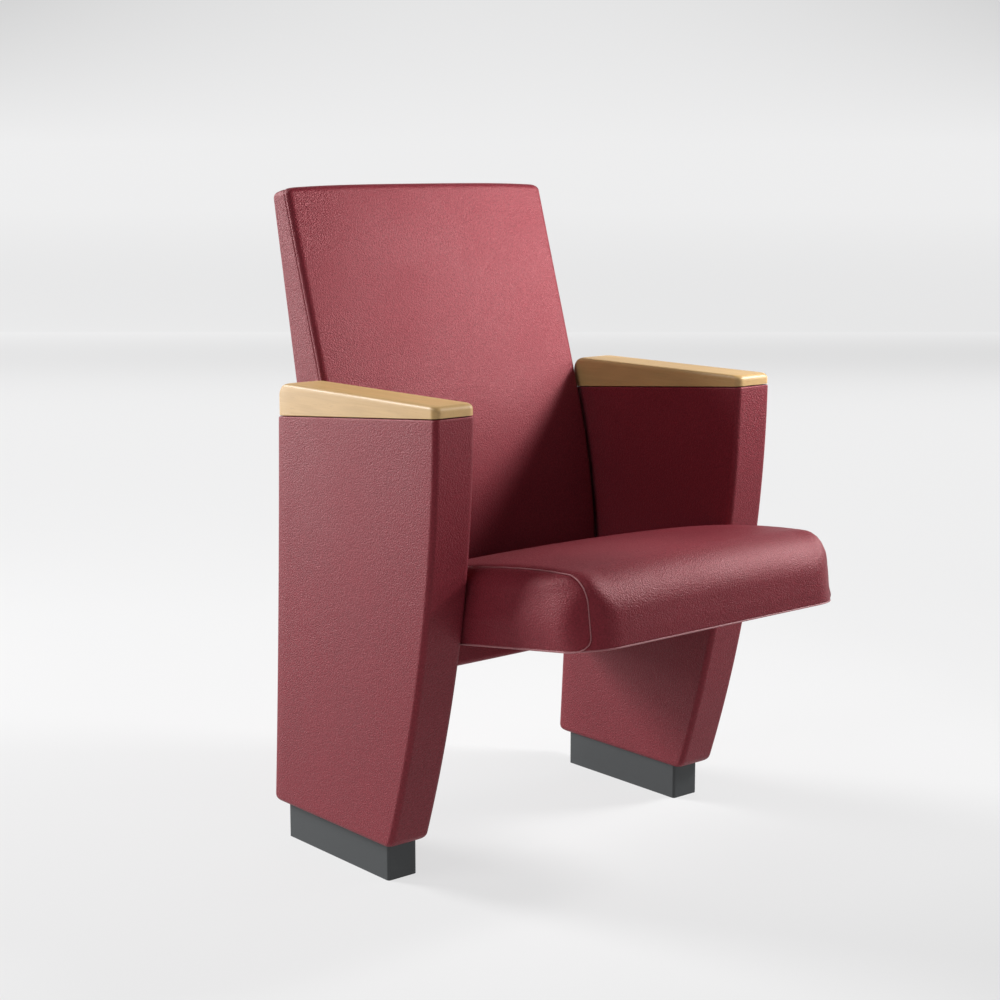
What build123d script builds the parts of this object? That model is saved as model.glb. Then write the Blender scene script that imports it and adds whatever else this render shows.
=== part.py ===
from build123d import *
import os
from math import cos, hypot, radians, sin, sqrt

# A tip-up auditorium seat: two upholstered side pedestals with wooden arm caps,
# a reclined backrest bolted between them, and a seat that turns on two stub axles.
# Frame: +Z up, the seat's front faces -Y, the origin is on the floor under the
# middle of the chair. All lengths are millimetres.

os.makedirs("parts", exist_ok=True)

# ------------------------------------------------------------------ pedestals
half_span = 312.0  # middle of the chair to the outer face of a side panel
panel_thickness = 67.0
panel_bottom = 52.0  # underside of the panel above the floor
panel_front_foot = -19.0  # y of the front edge where it meets the underside
panel_foot_behind = 102.5  # the backrest's foot to the panel's rear lower corner
panel_front_top = -125.5  # y of the front edge where it meets the arm cap
panel_top_behind = 75.5  # the backrest's foot to the panel's rear upper corner
panel_front_bow = 25.0  # how far the front edge bulges past its chord
panel_rear_hollow = 2.5
panel_corner = 13.0  # round of the lower corners, seen from the side
panel_edge = 8.0  # round of the upholstered edges

cover = 1.2  # leather-like upholstery
ease = 0.3  # clearance between soft or bent layers
panel_foam = 3.0
panel_board = 8.0
rib_width = 16.0

foot_setback = 6.25  # the shoe stands this far outside the panel's inner face
foot_outer_setback = 11.75
foot_front_setback = 18.0
foot_rear_setback = 22.0
foot_wall = 2.5
foot_round = 4.0
base_thickness = 8.0
base_clearance = 0.5
floor_bolt_hole = 12.0
floor_bolt_margin = 33.0  # end of the shoe to the middle of a bolt

post_width = 26.0
post_depth = 100.0
post_wall = 3.0
post_drop = 61.0  # panel's rear upper corner down to the post's end
post_clearance = 1.0

side_plate_thickness = 4.0
side_plate_ahead = 36.0  # past the axle and, below, past the backrest's bolts
side_plate_behind = 12.0
side_plate_margin = 28.0
side_plate_round = 12.0

# ------------------------------------------------------------------- arm caps
arm_height = 669.0
arm_front_depth = 17.0  # top of the arm cap to the panel, at the front
arm_rear_depth = 48.0
arm_land_inset = 4.0
arm_shadow = 1.2  # height of the dark joint between cap and upholstery
arm_rear_round = 20.0
arm_front_round = 8.0
arm_edge = 5.0
arm_screw = 5.0
arm_screw_head = 10.0
arm_screw_head_height = 3.0
arm_screw_sink = 2.0
arm_screw_bite = 12.0
arm_screw_stations = (-60.0, 150.0)

# ----------------------------------------------------------- hinge of the seat
pivot_z = 360.7
pivot_drop = 40.0  # underside of the seat to the pivot, square to the underside
seat_tilt = 8.01
seat_travel = 75.0
axle = 18.0
axle_flange = 52.0
axle_flange_thickness = 5.0
axle_screw = 5.0
axle_screw_circle = 38.0
axle_screw_head = 8.5
axle_screw_head_height = 3.0
axle_beyond = 9.3  # last turn of the spring to the axle's free end
axle_flat = 7.0  # axle centre to the flat that keys the stop crank
screw_play = 0.1
running_fit = 0.05
bush_wall = 3.0
bush_rim = 32.0
bush_rim_thickness = 1.5
clip_thickness = 1.1
clip_outer = 24.0
clip_groove = 7.8
clip_end = 1.8

crank_thickness = 6.0
crank_boss = 30.0
pin_radius = 22.0  # pivot to the stop pin
pin_start = 150.0  # angle of the stop pin when the seat is down
stop_pin = 8.0
stop_buffer = 12.0
stop_slack = 0.3
peg = 6.0

arm_thickness = 5.0
arm_inset = 12.7  # side of the seat to the arm's outer face
arm_front = 140.0
arm_eye = 33.0  # radius of the eye round the axle
arm_low = 11.0
arm_toe = 24.0  # bevel of the arm's lower front corner
arm_flange = 30.3
arm_flange_thickness = 4.0
arm_bolt = 6.0

spring_wire = 3.5
spring_radius = 14.0
spring_turns = 6
spring_pitch = 4.2
spring_start = -72.0
spring_leg = 55.0
spring_tail = 30.0
spring_margin = 3.0  # crank face to the first turn's middle

# ----------------------------------------------------------------------- seat
seat_gap = 3.0  # between the seat and a panel
seat_back_gap = 12.4  # between the seat's rear face and the backrest
seat_front = 404.6  # pivot to the front face, along the seat
seat_rear = 84.0  # pivot to the rear face
seat_peak = 110.5  # height of the crown above the underside
seat_peak_at = 230.0
seat_front_sweep = 1250.0
seat_rear_sweep = 1500.0
seat_crown = 5.3  # the crown's fall towards the sides
seat_front_round = 55.0
seat_rear_round = 35.0
seat_side_round = 40.0
seat_plan_round = 58.0  # front corners of the base board, seen from above
seat_seam = 18.0  # side seam, in from the side
seat_board_low = 50.0
seat_board = 12.0
seat_board_inset = 18.0
seat_board_setback = 74.6  # the board's front edge behind the seat's front
seat_board_rear_inset = 26.0
seat_board_corner = 20.0
seat_notch_depth = 32.0
seat_notch_width = 49.0
base_board = 9.0
batten_width = 30.0
front_batten_setback = 25.0
batten_pitch = 140.0
batten_inset = 43.0

# ------------------------------------------------------------------- backrest
back_gap = 4.5  # between the backrest and a panel
back_bottom = 227.0
back_front_low = 160.5  # y of the front face at the foot
back_bend_start = 320.0
back_front_radius = 1040.0
back_recline = 17.0
back_rear_recline = 10.8
back_rear_bend_end = 560.0
back_top = 943.4  # front upper corner before rounding
back_top_depth = 39.9
back_top_fall = 14.2
back_crown = 4.0
back_top_crown = 3.5
back_top_round = 12.0
back_side_round = 9.5
back_foam = 15.5
back_board = 10.0
back_board_inset = 8.5
back_rear_board = 6.0
back_ample = 60.0  # how far a cutting shape stands out past the backrest
back_top_foam = 16.0
rail_size = 20.0
rail_wall = 2.0
rail_reach = 413.0  # height of a rail above the backrest's underside
back_batten = 24.0
back_bolt = 10.0
back_bolt_rise = 35.0  # lower bolt above the backrest's underside
back_bolt_pitch = 168.0
back_bolt_head = 16.0
back_bolt_head_height = 8.0
back_nut = 17.0
back_nut_height = 8.0
spacer_outer = 18.0

# ------------------------------------------------------------ derived values
panel_inner = half_span - panel_thickness
seat_half = panel_inner - seat_gap
back_half = panel_inner - back_gap
panel_rear_foot = back_front_low + panel_foot_behind
panel_rear_top = back_front_low + panel_top_behind
panel_front_height = arm_height - arm_front_depth
panel_rear_height = arm_height - arm_rear_depth
pivot_y = back_front_low - seat_back_gap - seat_rear
back_bolt_heights = (
    back_bottom + back_bolt_rise,
    back_bottom + back_bolt_rise + back_bolt_pitch,
)
rail_top = back_bottom + rail_reach
layer = cover + ease  # outside of the foam, in from the surface
core_in = panel_inner + layer + panel_foam
core_out = half_span - layer - panel_foam
cavity_in = core_in + panel_board
cavity_out = core_out - panel_board
plate_in = cavity_in
plate_out = cavity_in + side_plate_thickness
post_in = plate_out
post_out = post_in + post_width
foot_in = panel_inner + foot_setback
foot_out = half_span - foot_outer_setback
foot_front = panel_front_foot + foot_front_setback
foot_rear = panel_rear_foot - foot_rear_setback
foot_middle = (foot_in + foot_out) / 2
foot_centre = (foot_front + foot_rear) / 2
floor_bolt_pitch = foot_rear - foot_front - 2 * floor_bolt_margin
post_front = foot_centre - post_depth / 2
post_top = panel_rear_height - post_drop
tilt = radians(seat_tilt)
flange_in = plate_in - axle_flange_thickness
arm_out = seat_half - arm_inset
arm_in = arm_out - arm_thickness
rim_in = arm_in - bush_rim_thickness
crank_out = rim_in - ease
crank_in = crank_out - crank_thickness
spring_first = crank_in - spring_margin
spring_last = spring_first - spring_turns * spring_pitch
axle_end = spring_last - axle_beyond
bush_outer = axle / 2 + running_fit + bush_wall
buffer_half = stop_buffer / 2 + stop_slack
board_half = seat_half - seat_board_inset
seat_board_front = seat_front - seat_board_setback
seat_board_rear = seat_rear - seat_board_rear_inset
front_batten_at = seat_board_front - front_batten_setback
middle_batten_at = front_batten_at - batten_pitch
board_top = seat_board_low + seat_board
hollow_low = cover + base_board  # top of the base board


# --------------------------------------------------------------- small helpers
def slab(face, x0, x1):
    """A (y, z) face pushed out from x0 to x1."""
    return extrude(Plane.YZ.offset(x0) * face, amount=x1 - x0)


def block(x0, x1, y0, y1, z0, z1):
    """A box between two corners."""
    centre = ((x0 + x1) / 2, (y0 + y1) / 2, (z0 + z1) / 2)
    return Pos(*centre) * Box(abs(x1 - x0), abs(y1 - y0), abs(z1 - z0))


def rod(radius, x0, x1, y, z):
    """A cylinder along X."""
    length = x1 - x0
    return Plane.YZ.offset(x0) * Pos(y, z, length / 2) * Cylinder(radius, length)


def hexagon(across, x0, x1, y, z):
    """A hexagonal prism along X, measured across its flats."""
    side = across / sqrt(3)
    return slab(Pos(y, z) * RegularPolygon(side, 6), x0, x1)


def mirrored(shape):
    """The left-hand twin of a right-hand piece."""
    return mirror(shape, about=Plane.YZ)


def both(shape):
    """A right-hand piece with its left-hand twin, as separate solids."""
    return Compound(children=[*shape.solids(), *mirrored(shape).solids()])


def group(*shapes):
    """Several pieces that share one node."""
    return Compound(children=[s for shape in shapes for s in shape.solids()])


def seat_plane(x):
    """Plane of the seat's side view: u forward, v square to the underside."""
    origin = (x, pivot_y - pivot_drop * sin(tilt), pivot_z - pivot_drop * cos(tilt))
    return Plane(origin=origin, x_dir=(0, -cos(tilt), sin(tilt)), z_dir=(-1, 0, 0))


def seat_slab(face, x0, x1):
    """A (u, v) face pushed out from x0 to x1."""
    return extrude(seat_plane(x1) * face, amount=x1 - x0)


def seat_block(x0, x1, u0, u1, v0, v1):
    """A box in the seat's own directions."""
    middle = Pos((u0 + u1) / 2, (v0 + v1) / 2)
    return seat_slab(middle * Rectangle(abs(u1 - u0), abs(v1 - v0)), x0, x1)


def seat_rod(radius, x0, x1, u, v):
    """A cylinder along X at a place of the seat's side view."""
    return seat_slab(Pos(u, v) * Circle(radius), x0, x1)


def around(radius, angle):
    """Place on a circle round the pivot, in the seat's side view."""
    turn = radians(angle)
    return (radius * cos(turn), pivot_drop + radius * sin(turn))


def meet(p, d, q, e):
    """Where the line through p along d crosses the line through q along e."""
    cross = d[0] * e[1] - d[1] * e[0]
    s = ((q[0] - p[0]) * e[1] - (q[1] - p[1]) * e[0]) / cross
    return (p[0] + s * d[0], p[1] + s * d[1])


def near(shape, place, reach):
    """The vertices of a flat face within reach of a place."""
    return [
        v
        for v in shape.vertices()
        if hypot(v.X - place[0], v.Y - place[1]) < reach
    ]


# --------------------------------------------------------------- side pedestal
def panel_outline(inset, corner=True):
    """Side view of a panel, drawn in by inset."""
    front_top = (panel_front_top, panel_front_height)
    front_foot = (panel_front_foot, panel_bottom)
    rear_foot = (panel_rear_foot, panel_bottom)
    rear_top = (panel_rear_top, panel_rear_height)
    edges = (
        SagittaArc(front_top, front_foot, -panel_front_bow)
        + Line(front_foot, rear_foot)
        + SagittaArc(rear_foot, rear_top, panel_rear_hollow)
        + Line(rear_top, front_top)
    )
    face = make_face(edges)
    if inset:
        face = offset(face, amount=-inset, kind=Kind.INTERSECTION)
    if not corner:
        return face
    lower = face.vertices().group_by(Axis.Y)[0]
    return fillet(lower, panel_corner - inset)


def panel_form(inset):
    """The upholstered panel's body with rounded front, bottom and rear edges."""
    x0, x1 = panel_inner + inset, half_span - inset
    body = slab(panel_outline(inset), x0, x1)
    sides = body.faces().filter_by(Axis.X)
    rounded = [
        e
        for face in sides
        for e in face.edges()
        if e.center().Z < panel_rear_height - panel_edge
    ]
    return fillet(rounded, panel_edge - inset)


def back_depth(z, inset):
    """y of the backrest's front face, drawn in by inset, at a height."""
    recline = radians(back_recline)
    radius = back_front_radius - inset
    centre = back_front_low + back_front_radius
    if z <= back_bend_start:
        return back_front_low + inset
    bend_end = back_bend_start + radius * sin(recline)
    if z <= bend_end:
        return centre - sqrt(radius**2 - (z - back_bend_start) ** 2)
    rise = z - bend_end
    return centre - radius * cos(recline) + rise * sin(recline) / cos(recline)


bolt_places = [
    (back_depth(z, layer + back_foam + ease + back_board + ease + rail_size / 2), z)
    for z in back_bolt_heights
]
axle_screw_angles = (45.0, 135.0, 225.0, 315.0)
screw_places = [
    (
        pivot_y + axle_screw_circle / 2 * cos(radians(a)),
        pivot_z + axle_screw_circle / 2 * sin(radians(a)),
    )
    for a in axle_screw_angles
]


def arm_line(y):
    """Height of the panel's top line."""
    share = (y - panel_front_top) / (panel_rear_top - panel_front_top)
    return panel_front_height + share * (panel_rear_height - panel_front_height)


base_plate = block(
    foot_in + foot_wall + base_clearance,
    foot_out - foot_wall - base_clearance,
    foot_front + foot_wall + base_clearance,
    foot_rear - foot_wall - base_clearance,
    0,
    base_thickness,
)
base_plate = fillet(base_plate.edges().filter_by(Axis.Z), foot_round - foot_wall)
for side in (-1, 1):
    place = Pos(foot_middle, foot_centre + side * floor_bolt_pitch / 2, base_thickness / 2)
    base_plate -= place * Cylinder(floor_bolt_hole / 2, 2 * base_thickness)

foot_cover = block(foot_in, foot_out, foot_front, foot_rear, 0, panel_bottom)
foot_cover = fillet(foot_cover.edges().filter_by(Axis.Z), foot_round)
foot_inside = block(
    foot_in + foot_wall,
    foot_out - foot_wall,
    foot_front + foot_wall,
    foot_rear - foot_wall,
    0,
    panel_bottom - foot_wall,
)
foot_inside = fillet(foot_inside.edges().filter_by(Axis.Z), foot_round - foot_wall)
post_rear = post_front + post_depth


def post_slot(z0, z1):
    """Room for the post in a layer that it passes through."""
    return block(
        post_in - post_clearance,
        post_out + post_clearance,
        post_front - post_clearance,
        post_rear + post_clearance,
        z0,
        z1,
    )


foot_cover -= foot_inside
foot_cover -= post_slot(panel_bottom - 2 * foot_wall, panel_bottom + foot_wall)

post = block(post_in, post_out, post_front, post_rear, base_thickness, post_top)
post = fillet(post.edges().filter_by(Axis.Z), 2 * post_wall)
post_bore = block(
    post_in + post_wall,
    post_out - post_wall,
    post_front + post_wall,
    post_rear - post_wall,
    base_thickness,
    post_top,
)
post_bore = fillet(post_bore.edges().filter_by(Axis.Z), post_wall)
post -= post_bore

side_plate_front = pivot_y - side_plate_ahead
side_plate_rear = max(y for y, z in bolt_places) + side_plate_behind
side_plate_low = back_bolt_heights[0] - side_plate_margin
side_plate_high = back_bolt_heights[1] + side_plate_margin
plate_face = Pos(
    (side_plate_front + side_plate_rear) / 2,
    (side_plate_low + side_plate_high) / 2,
) * RectangleRounded(
    side_plate_rear - side_plate_front,
    side_plate_high - side_plate_low,
    side_plate_round,
)
for y, z in bolt_places:
    plate_face -= Pos(y, z) * Circle(back_bolt / 2 + screw_play)
for y, z in screw_places:
    plate_face -= Pos(y, z) * Circle(axle_screw / 2 + screw_play)
side_plate = slab(plate_face, plate_in, plate_out)

board_outline = panel_outline(layer + panel_foam + ease)
outer_board = slab(board_outline, cavity_out, core_out)
inner_face = board_outline - Pos(pivot_y, pivot_z) * Circle(axle_flange / 2 + 0.5)
for y, z in bolt_places:
    inner_face -= Pos(y, z) * Circle(spacer_outer / 2 + 0.2)
inner_board = slab(inner_face, core_in, cavity_in)

rib_inside = panel_outline(layer + panel_foam + ease + rib_width, corner=False)
ring = slab(board_outline - rib_inside, cavity_in, cavity_out)
rail_under = layer + panel_foam + ease + rib_width
low_split = panel_bottom + rail_under
far = 2 * half_span
low_zone = block(0, far, -far, far, 0, low_split)
top_slope = (panel_front_height - panel_rear_height) / (panel_rear_top - panel_front_top)
rail_drop = rail_under * sqrt(1 + top_slope**2) + ease
above_rail = Polyline(
    (-far, arm_line(-far) - rail_drop),
    (far, arm_line(far) - rail_drop),
    (far, 2 * far),
    (-far, 2 * far),
    close=True,
)
high_zone = slab(make_face(above_rail), 0, far)
upright_zone = block(0, far, -far, far, low_split, 2 * far) - high_zone
front_zone = upright_zone & block(0, far, -far, foot_centre, 0, 2 * far)
rear_zone = upright_zone & block(0, far, foot_centre, far, 0, 2 * far)
low_rail = (ring & low_zone) - post_slot(0, low_split + rib_width)
front_rib = ring & front_zone
rear_rib = ring & rear_zone
high_rail = ring & high_zone

foam = panel_form(layer)
foam -= slab(panel_outline(layer + panel_foam), core_in, core_out)
foam -= post_slot(0, low_split)
foam -= rod(axle / 2 + 2 * ease, 0, cavity_in, pivot_y, pivot_z)
skin = panel_form(0) - panel_form(cover)
skin -= post_slot(0, low_split)
skin -= rod(axle / 2 + 2 * ease, 0, cavity_in, pivot_y, pivot_z)
for y, z in bolt_places:
    foam -= rod(spacer_outer / 2 + 0.2, 0, cavity_in, y, z)
    skin -= rod(spacer_outer / 2 + 0.2, 0, cavity_in, y, z)

# Arm cap: solid wood on a central land, so that a dark joint shows all round.
cap_profile = make_face(
    Polyline(
        (panel_front_top, panel_front_height + arm_shadow),
        (panel_front_top, arm_height),
        (panel_rear_top, arm_height),
        (panel_rear_top, panel_rear_height + arm_shadow),
        close=True,
    )
)
cap_profile = fillet(
    near(cap_profile, (panel_rear_top, arm_height), 1.0), arm_rear_round
)
cap_profile = fillet(
    near(cap_profile, (panel_front_top, arm_height), 1.0), arm_front_round
)
arm_cap = slab(cap_profile, panel_inner, half_span)
cap_sides = [
    e
    for face in arm_cap.faces().filter_by(Axis.X)
    for e in face.edges()
    if e.center().Z > arm_line(e.center().Y) + 4 * arm_shadow
]
arm_cap = fillet(cap_sides, arm_edge)
land = make_face(
    Polyline(
        (panel_front_top + arm_land_inset, arm_line(panel_front_top + arm_land_inset)),
        (panel_front_top + arm_land_inset, panel_front_height + 2 * arm_shadow),
        (panel_rear_top - arm_land_inset, panel_rear_height + 2 * arm_shadow),
        (panel_rear_top - arm_land_inset, arm_line(panel_rear_top - arm_land_inset)),
        close=True,
    )
)
arm_cap += slab(land, panel_inner + arm_land_inset, half_span - arm_land_inset)

cap_screws = []
core_middle = (core_in + core_out) / 2
for y in arm_screw_stations:
    head_top = arm_line(y) - rail_drop + arm_screw_sink
    tip = arm_line(y) + arm_shadow + arm_screw_bite
    shank = Pos(core_middle, y, (head_top + tip) / 2) * Cylinder(
        arm_screw / 2, tip - head_top
    )
    head = Pos(core_middle, y, head_top - arm_screw_head_height / 2) * Cylinder(
        arm_screw_head / 2, arm_screw_head_height
    )
    hole = Pos(core_middle, y, (head_top + tip) / 2) * Cylinder(
        arm_screw / 2 + screw_play, tip - head_top + 1
    )
    pocket = Pos(core_middle, y, head_top - rib_width / 2) * Cylinder(
        arm_screw_head / 2 + screw_play, rib_width
    )
    high_rail -= hole + pocket
    foam -= hole
    skin -= hole
    arm_cap -= hole
    cap_screws.append(shank + head)

# ------------------------------------------------------- hinge, fixed half
hinge_axle = rod(axle_flange / 2, flange_in, plate_in, pivot_y, pivot_z)
hinge_axle += rod(axle / 2, axle_end, flange_in, pivot_y, pivot_z)
flat_cut = seat_block(
    axle_end - 1,
    crank_out + ease / 2,
    -axle,
    axle,
    pivot_drop + axle_flat,
    pivot_drop + axle,
)
hinge_axle -= flat_cut
groove_in = axle_end + clip_end
groove_out = groove_in + clip_thickness + 0.2
hinge_axle -= rod(axle, groove_in, groove_out, pivot_y, pivot_z) - rod(
    clip_groove - 0.6, groove_in, groove_out, pivot_y, pivot_z
)
for y, z in screw_places:
    hinge_axle -= rod(axle_screw / 2 + screw_play, flange_in, plate_in, y, z)
hinge_axle = chamfer(
    hinge_axle.faces().sort_by(Axis.X)[0].edges().filter_by(GeomType.CIRCLE), 0.8
)

axle_clip = rod(clip_outer / 2, groove_in + 0.1, groove_in + 0.1 + clip_thickness, pivot_y, pivot_z)
axle_clip -= rod(clip_groove - 0.5, groove_in, groove_out, pivot_y, pivot_z)
axle_clip -= seat_block(
    groove_in,
    groove_out,
    -clip_groove / 2,
    clip_groove / 2,
    pivot_drop - clip_outer,
    pivot_drop,
)

screws = []
for y, z in screw_places:
    head = rod(axle_screw_head / 2, flange_in - axle_screw_head_height, flange_in, y, z)
    socket = hexagon(
        axle_screw_head / 2.2, flange_in - axle_screw_head_height, flange_in - 1, y, z
    )
    shank = rod(axle_screw / 2, flange_in, plate_out - 0.2, y, z)
    screws.append(head + shank - socket)

pin_at = around(pin_radius, pin_start)
peg_root = around(spring_radius, spring_start)
tail_turn = radians(spring_start - 90)
peg_reach = 0.8 * spring_tail
peg_lift = spring_wire / 2 + peg / 2 + ease
peg_at = (
    peg_root[0] + peg_reach * cos(tail_turn) + peg_lift * sin(tail_turn),
    peg_root[1] + peg_reach * sin(tail_turn) - peg_lift * cos(tail_turn),
)
crank_face = Pos(0, pivot_drop) * Circle(crank_boss / 2)
crank_face += make_hull(
    (
        (Pos(0, pivot_drop) * Circle(crank_boss / 2))
        + (Pos(*pin_at) * Circle(stop_pin))
    ).edges()
)
crank_face += make_hull(
    (
        (Pos(0, pivot_drop) * Circle(crank_boss / 2)) + (Pos(*peg_at) * Circle(peg))
    ).edges()
)
keyed = Pos(0, pivot_drop) * Circle(axle / 2 + screw_play)
keyed -= Pos(0, pivot_drop + axle_flat + screw_play + axle / 2) * Rectangle(axle * 2, axle)
stop_crank = seat_slab(crank_face - keyed, crank_in, crank_out)
pin_tip = arm_out + 1.0
stop_crank += seat_rod(stop_pin / 2, crank_out, pin_tip, *pin_at)
stop_crank += seat_rod(peg / 2, spring_last - spring_wire, crank_in, *peg_at)
buffer_sleeve = seat_rod(stop_buffer / 2, crank_out + 0.2, pin_tip, *pin_at)
buffer_sleeve -= seat_rod(stop_pin / 2 + 0.1, crank_out, pin_tip, *pin_at)

# ------------------------------------------------------ hinge, moving half
arm_face = Pos(arm_front / 2, (arm_low + seat_board_low) / 2) * Rectangle(
    arm_front, seat_board_low - arm_low
)
arm_face += Pos(0, pivot_drop) * Circle(arm_eye) & Pos(0, arm_low + arm_eye) * Rectangle(
    2 * arm_eye, 2 * arm_eye
)
arm_face = chamfer(near(arm_face, (arm_front, arm_low), 1), length=arm_toe)
slot_mid = pin_start - seat_travel / 2
slot_end = pin_start - seat_travel
slot_outer = pin_radius + buffer_half
slot_inner = pin_radius - buffer_half
slot = make_face(
    ThreePointArc(
        around(slot_outer, slot_end), around(slot_outer, slot_mid), around(slot_outer, pin_start)
    )
    + Line(around(slot_outer, pin_start), around(slot_inner, pin_start))
    + ThreePointArc(
        around(slot_inner, pin_start), around(slot_inner, slot_mid), around(slot_inner, slot_end)
    )
    + Line(around(slot_inner, slot_end), around(slot_outer, slot_end))
)
slot += Pos(*around(pin_radius, slot_end)) * Circle(buffer_half)
slot += Pos(*around(pin_radius, pin_start)) * Circle(buffer_half)
arm_face -= slot
arm_face -= Pos(0, pivot_drop) * Circle(bush_outer + running_fit)
seat_arm = seat_slab(arm_face, arm_in, arm_out)
flange_low = seat_board_low - arm_flange_thickness
seat_arm += seat_block(
    arm_in - arm_flange, arm_in, arm_eye, arm_front, flange_low, seat_board_low
)
bolt_x = arm_in - arm_flange / 2
bolt_us = [arm_eye + (arm_front - arm_eye) * share for share in (0.35, 0.62, 0.9)]

pivot_bush = seat_rod(bush_outer, rim_in, arm_out, 0, pivot_drop)
pivot_bush += seat_rod(bush_rim / 2, rim_in, arm_in, 0, pivot_drop)
pivot_bush -= seat_rod(axle / 2 + running_fit, rim_in, arm_out, 0, pivot_drop)


def seat_bolt(u, radius, head, play):
    """A screw that holds the arm's flange up against the seat board."""
    shank_low = flange_low
    tall = board_top - 2.0 - shank_low
    plane = seat_plane(bolt_x)
    shank = plane * Pos(u, shank_low + tall / 2, 0) * Rot(90, 0, 0) * Cylinder(
        radius, tall
    )
    if play:
        return shank
    cap = plane * Pos(u, shank_low - head / 2, 0) * Rot(90, 0, 0) * Cylinder(
        radius * 1.8, head
    )
    return shank + cap


def torsion_spring():
    """A close-wound spring round the axle: half-turn arcs and two straight legs."""
    step = spring_pitch / 2

    def place(angle, x):
        u, v = around(spring_radius, angle)
        return seat_plane(x).from_local_coords(Vector(u, v, 0))

    start = place(spring_start, spring_first)
    lead = radians(spring_start + 90)
    plane = seat_plane(spring_first)
    u0, v0 = around(spring_radius, spring_start)
    leg = plane.from_local_coords(
        Vector(u0 + spring_leg * cos(lead), v0 + spring_leg * sin(lead), 0)
    )
    pieces = [Line(leg, start)]
    for n in range(2 * spring_turns):
        a = spring_start - 180.0 * n
        x = spring_first - step * n
        pieces.append(
            ThreePointArc(place(a, x), place(a - 90, x - step / 2), place(a - 180, x - step))
        )
    last = spring_start - 360.0 * spring_turns
    tail = radians(last - 90)
    end_plane = seat_plane(spring_last)
    u1, v1 = around(spring_radius, last)
    pieces.append(
        Line(
            place(last, spring_last),
            end_plane.from_local_coords(
                Vector(u1 + spring_tail * cos(tail), v1 + spring_tail * sin(tail), 0)
            ),
        )
    )
    path = Wire(pieces)
    return sweep(Plane(origin=leg, z_dir=start - leg) * Circle(spring_wire / 2), path=path)


# ------------------------------------------------------------------------ seat
def cushion(inset):
    """The seat's crowned body, drawn in by inset: a loft with rounded sides."""

    def top(u, sweep_radius, peak):
        radius = sweep_radius - inset
        return peak - radius + sqrt(radius**2 - (u - seat_peak_at) ** 2)

    def section(x, drop):
        front, rear = seat_front - inset, -seat_rear + inset
        peak = seat_peak - drop - inset
        fore, aft = (front + seat_peak_at) / 2, (rear + seat_peak_at) / 2
        front_top = (front, top(front, seat_front_sweep, peak))
        rear_top = (rear, top(rear, seat_rear_sweep, peak))
        middle = (seat_peak_at, peak)
        face = make_face(
            Line((rear, inset), (front, inset))
            + Line((front, inset), front_top)
            + ThreePointArc(front_top, (fore, top(fore, seat_front_sweep, peak)), middle)
            + ThreePointArc(middle, (aft, top(aft, seat_rear_sweep, peak)), rear_top)
            + Line(rear_top, (rear, inset))
        )
        face = fillet(near(face, front_top, 0.1), seat_front_round - inset)
        face = fillet(near(face, rear_top, 0.1), seat_rear_round - inset)
        return seat_plane(x) * face

    half = seat_half - inset
    body = loft(
        [section(-half, seat_crown), section(0, 0), section(half, seat_crown)]
    )
    rounded = []
    for face in body.faces().sort_by(Axis.X)[:1] + body.faces().sort_by(Axis.X)[-1:]:
        for e in face.edges():
            local = seat_plane(0).to_local_coords(e @ 0.5)
            if local.Y > inset + 1:
                rounded.append(e)
    return fillet(rounded, seat_side_round - inset)


def base_outline(inset):
    """Plan of the seat's underside: a rectangle with larger rounds at its front."""
    face = Rectangle(seat_front + seat_rear - 2 * inset, 2 * (seat_half - inset))
    corners = face.vertices().group_by(Axis.X)
    face = fillet(corners[-1], seat_plan_round - inset)
    rear = face.vertices().group_by(Axis.X)[0]
    return fillet(rear, seat_side_round - inset)


def seat_plan(face, v0, v1):
    """A plan face, drawn (u, x) about u = 0, pushed from height v0 to v1."""
    origin = seat_plane(0).from_local_coords(Vector(0, v0, 0))
    plane = Plane(
        origin=origin, x_dir=(0, -cos(tilt), sin(tilt)), z_dir=(0, sin(tilt), cos(tilt))
    )
    return extrude(plane * face, amount=v1 - v0)


plan_middle = Pos((seat_front - seat_rear) / 2, 0)
seat_base_board = seat_plan(plan_middle * base_outline(layer), cover, hollow_low)

board_plan = Pos((seat_board_front - seat_board_rear) / 2, 0) * RectangleRounded(
    seat_board_front + seat_board_rear, 2 * board_half, seat_board_corner
)
for side in (-1, 1):
    board_plan -= Pos(-seat_board_rear, side * board_half) * Rectangle(
        2 * (seat_board_rear + seat_notch_depth), 2 * seat_notch_width
    )
seat_board_solid = seat_plan(board_plan, seat_board_low, board_top)

battens = []
for middle in (front_batten_at, middle_batten_at):
    battens.append(
        seat_block(
            -board_half + batten_inset,
            board_half - batten_inset,
            middle - batten_width / 2,
            middle + batten_width / 2,
            hollow_low,
            seat_board_low,
        )
    )

outer_seat = cushion(0)
seat_skin = outer_seat - cushion(cover)
reach = seat_front + seat_rear
axle_hole = rod(axle / 2 + 1.5, arm_out, half_span, pivot_y, pivot_z)
axle_holes = both(axle_hole)
below = seat_block(-reach, reach, -reach, reach, -reach, cover)
seam_x = seat_half - seat_seam
right_of = block(seam_x, reach, -reach, reach, 0, 2 * reach)
left_of = mirrored(right_of)
between = block(-seam_x, seam_x, -reach, reach, 0, 2 * reach)
seat_base_cover = seat_skin & below
upper_skin = seat_skin - below
seat_cover = upper_skin & between
right_seat_side_cover = (upper_skin & right_of) - axle_hole
left_seat_side_cover = mirrored(right_seat_side_cover)

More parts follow.
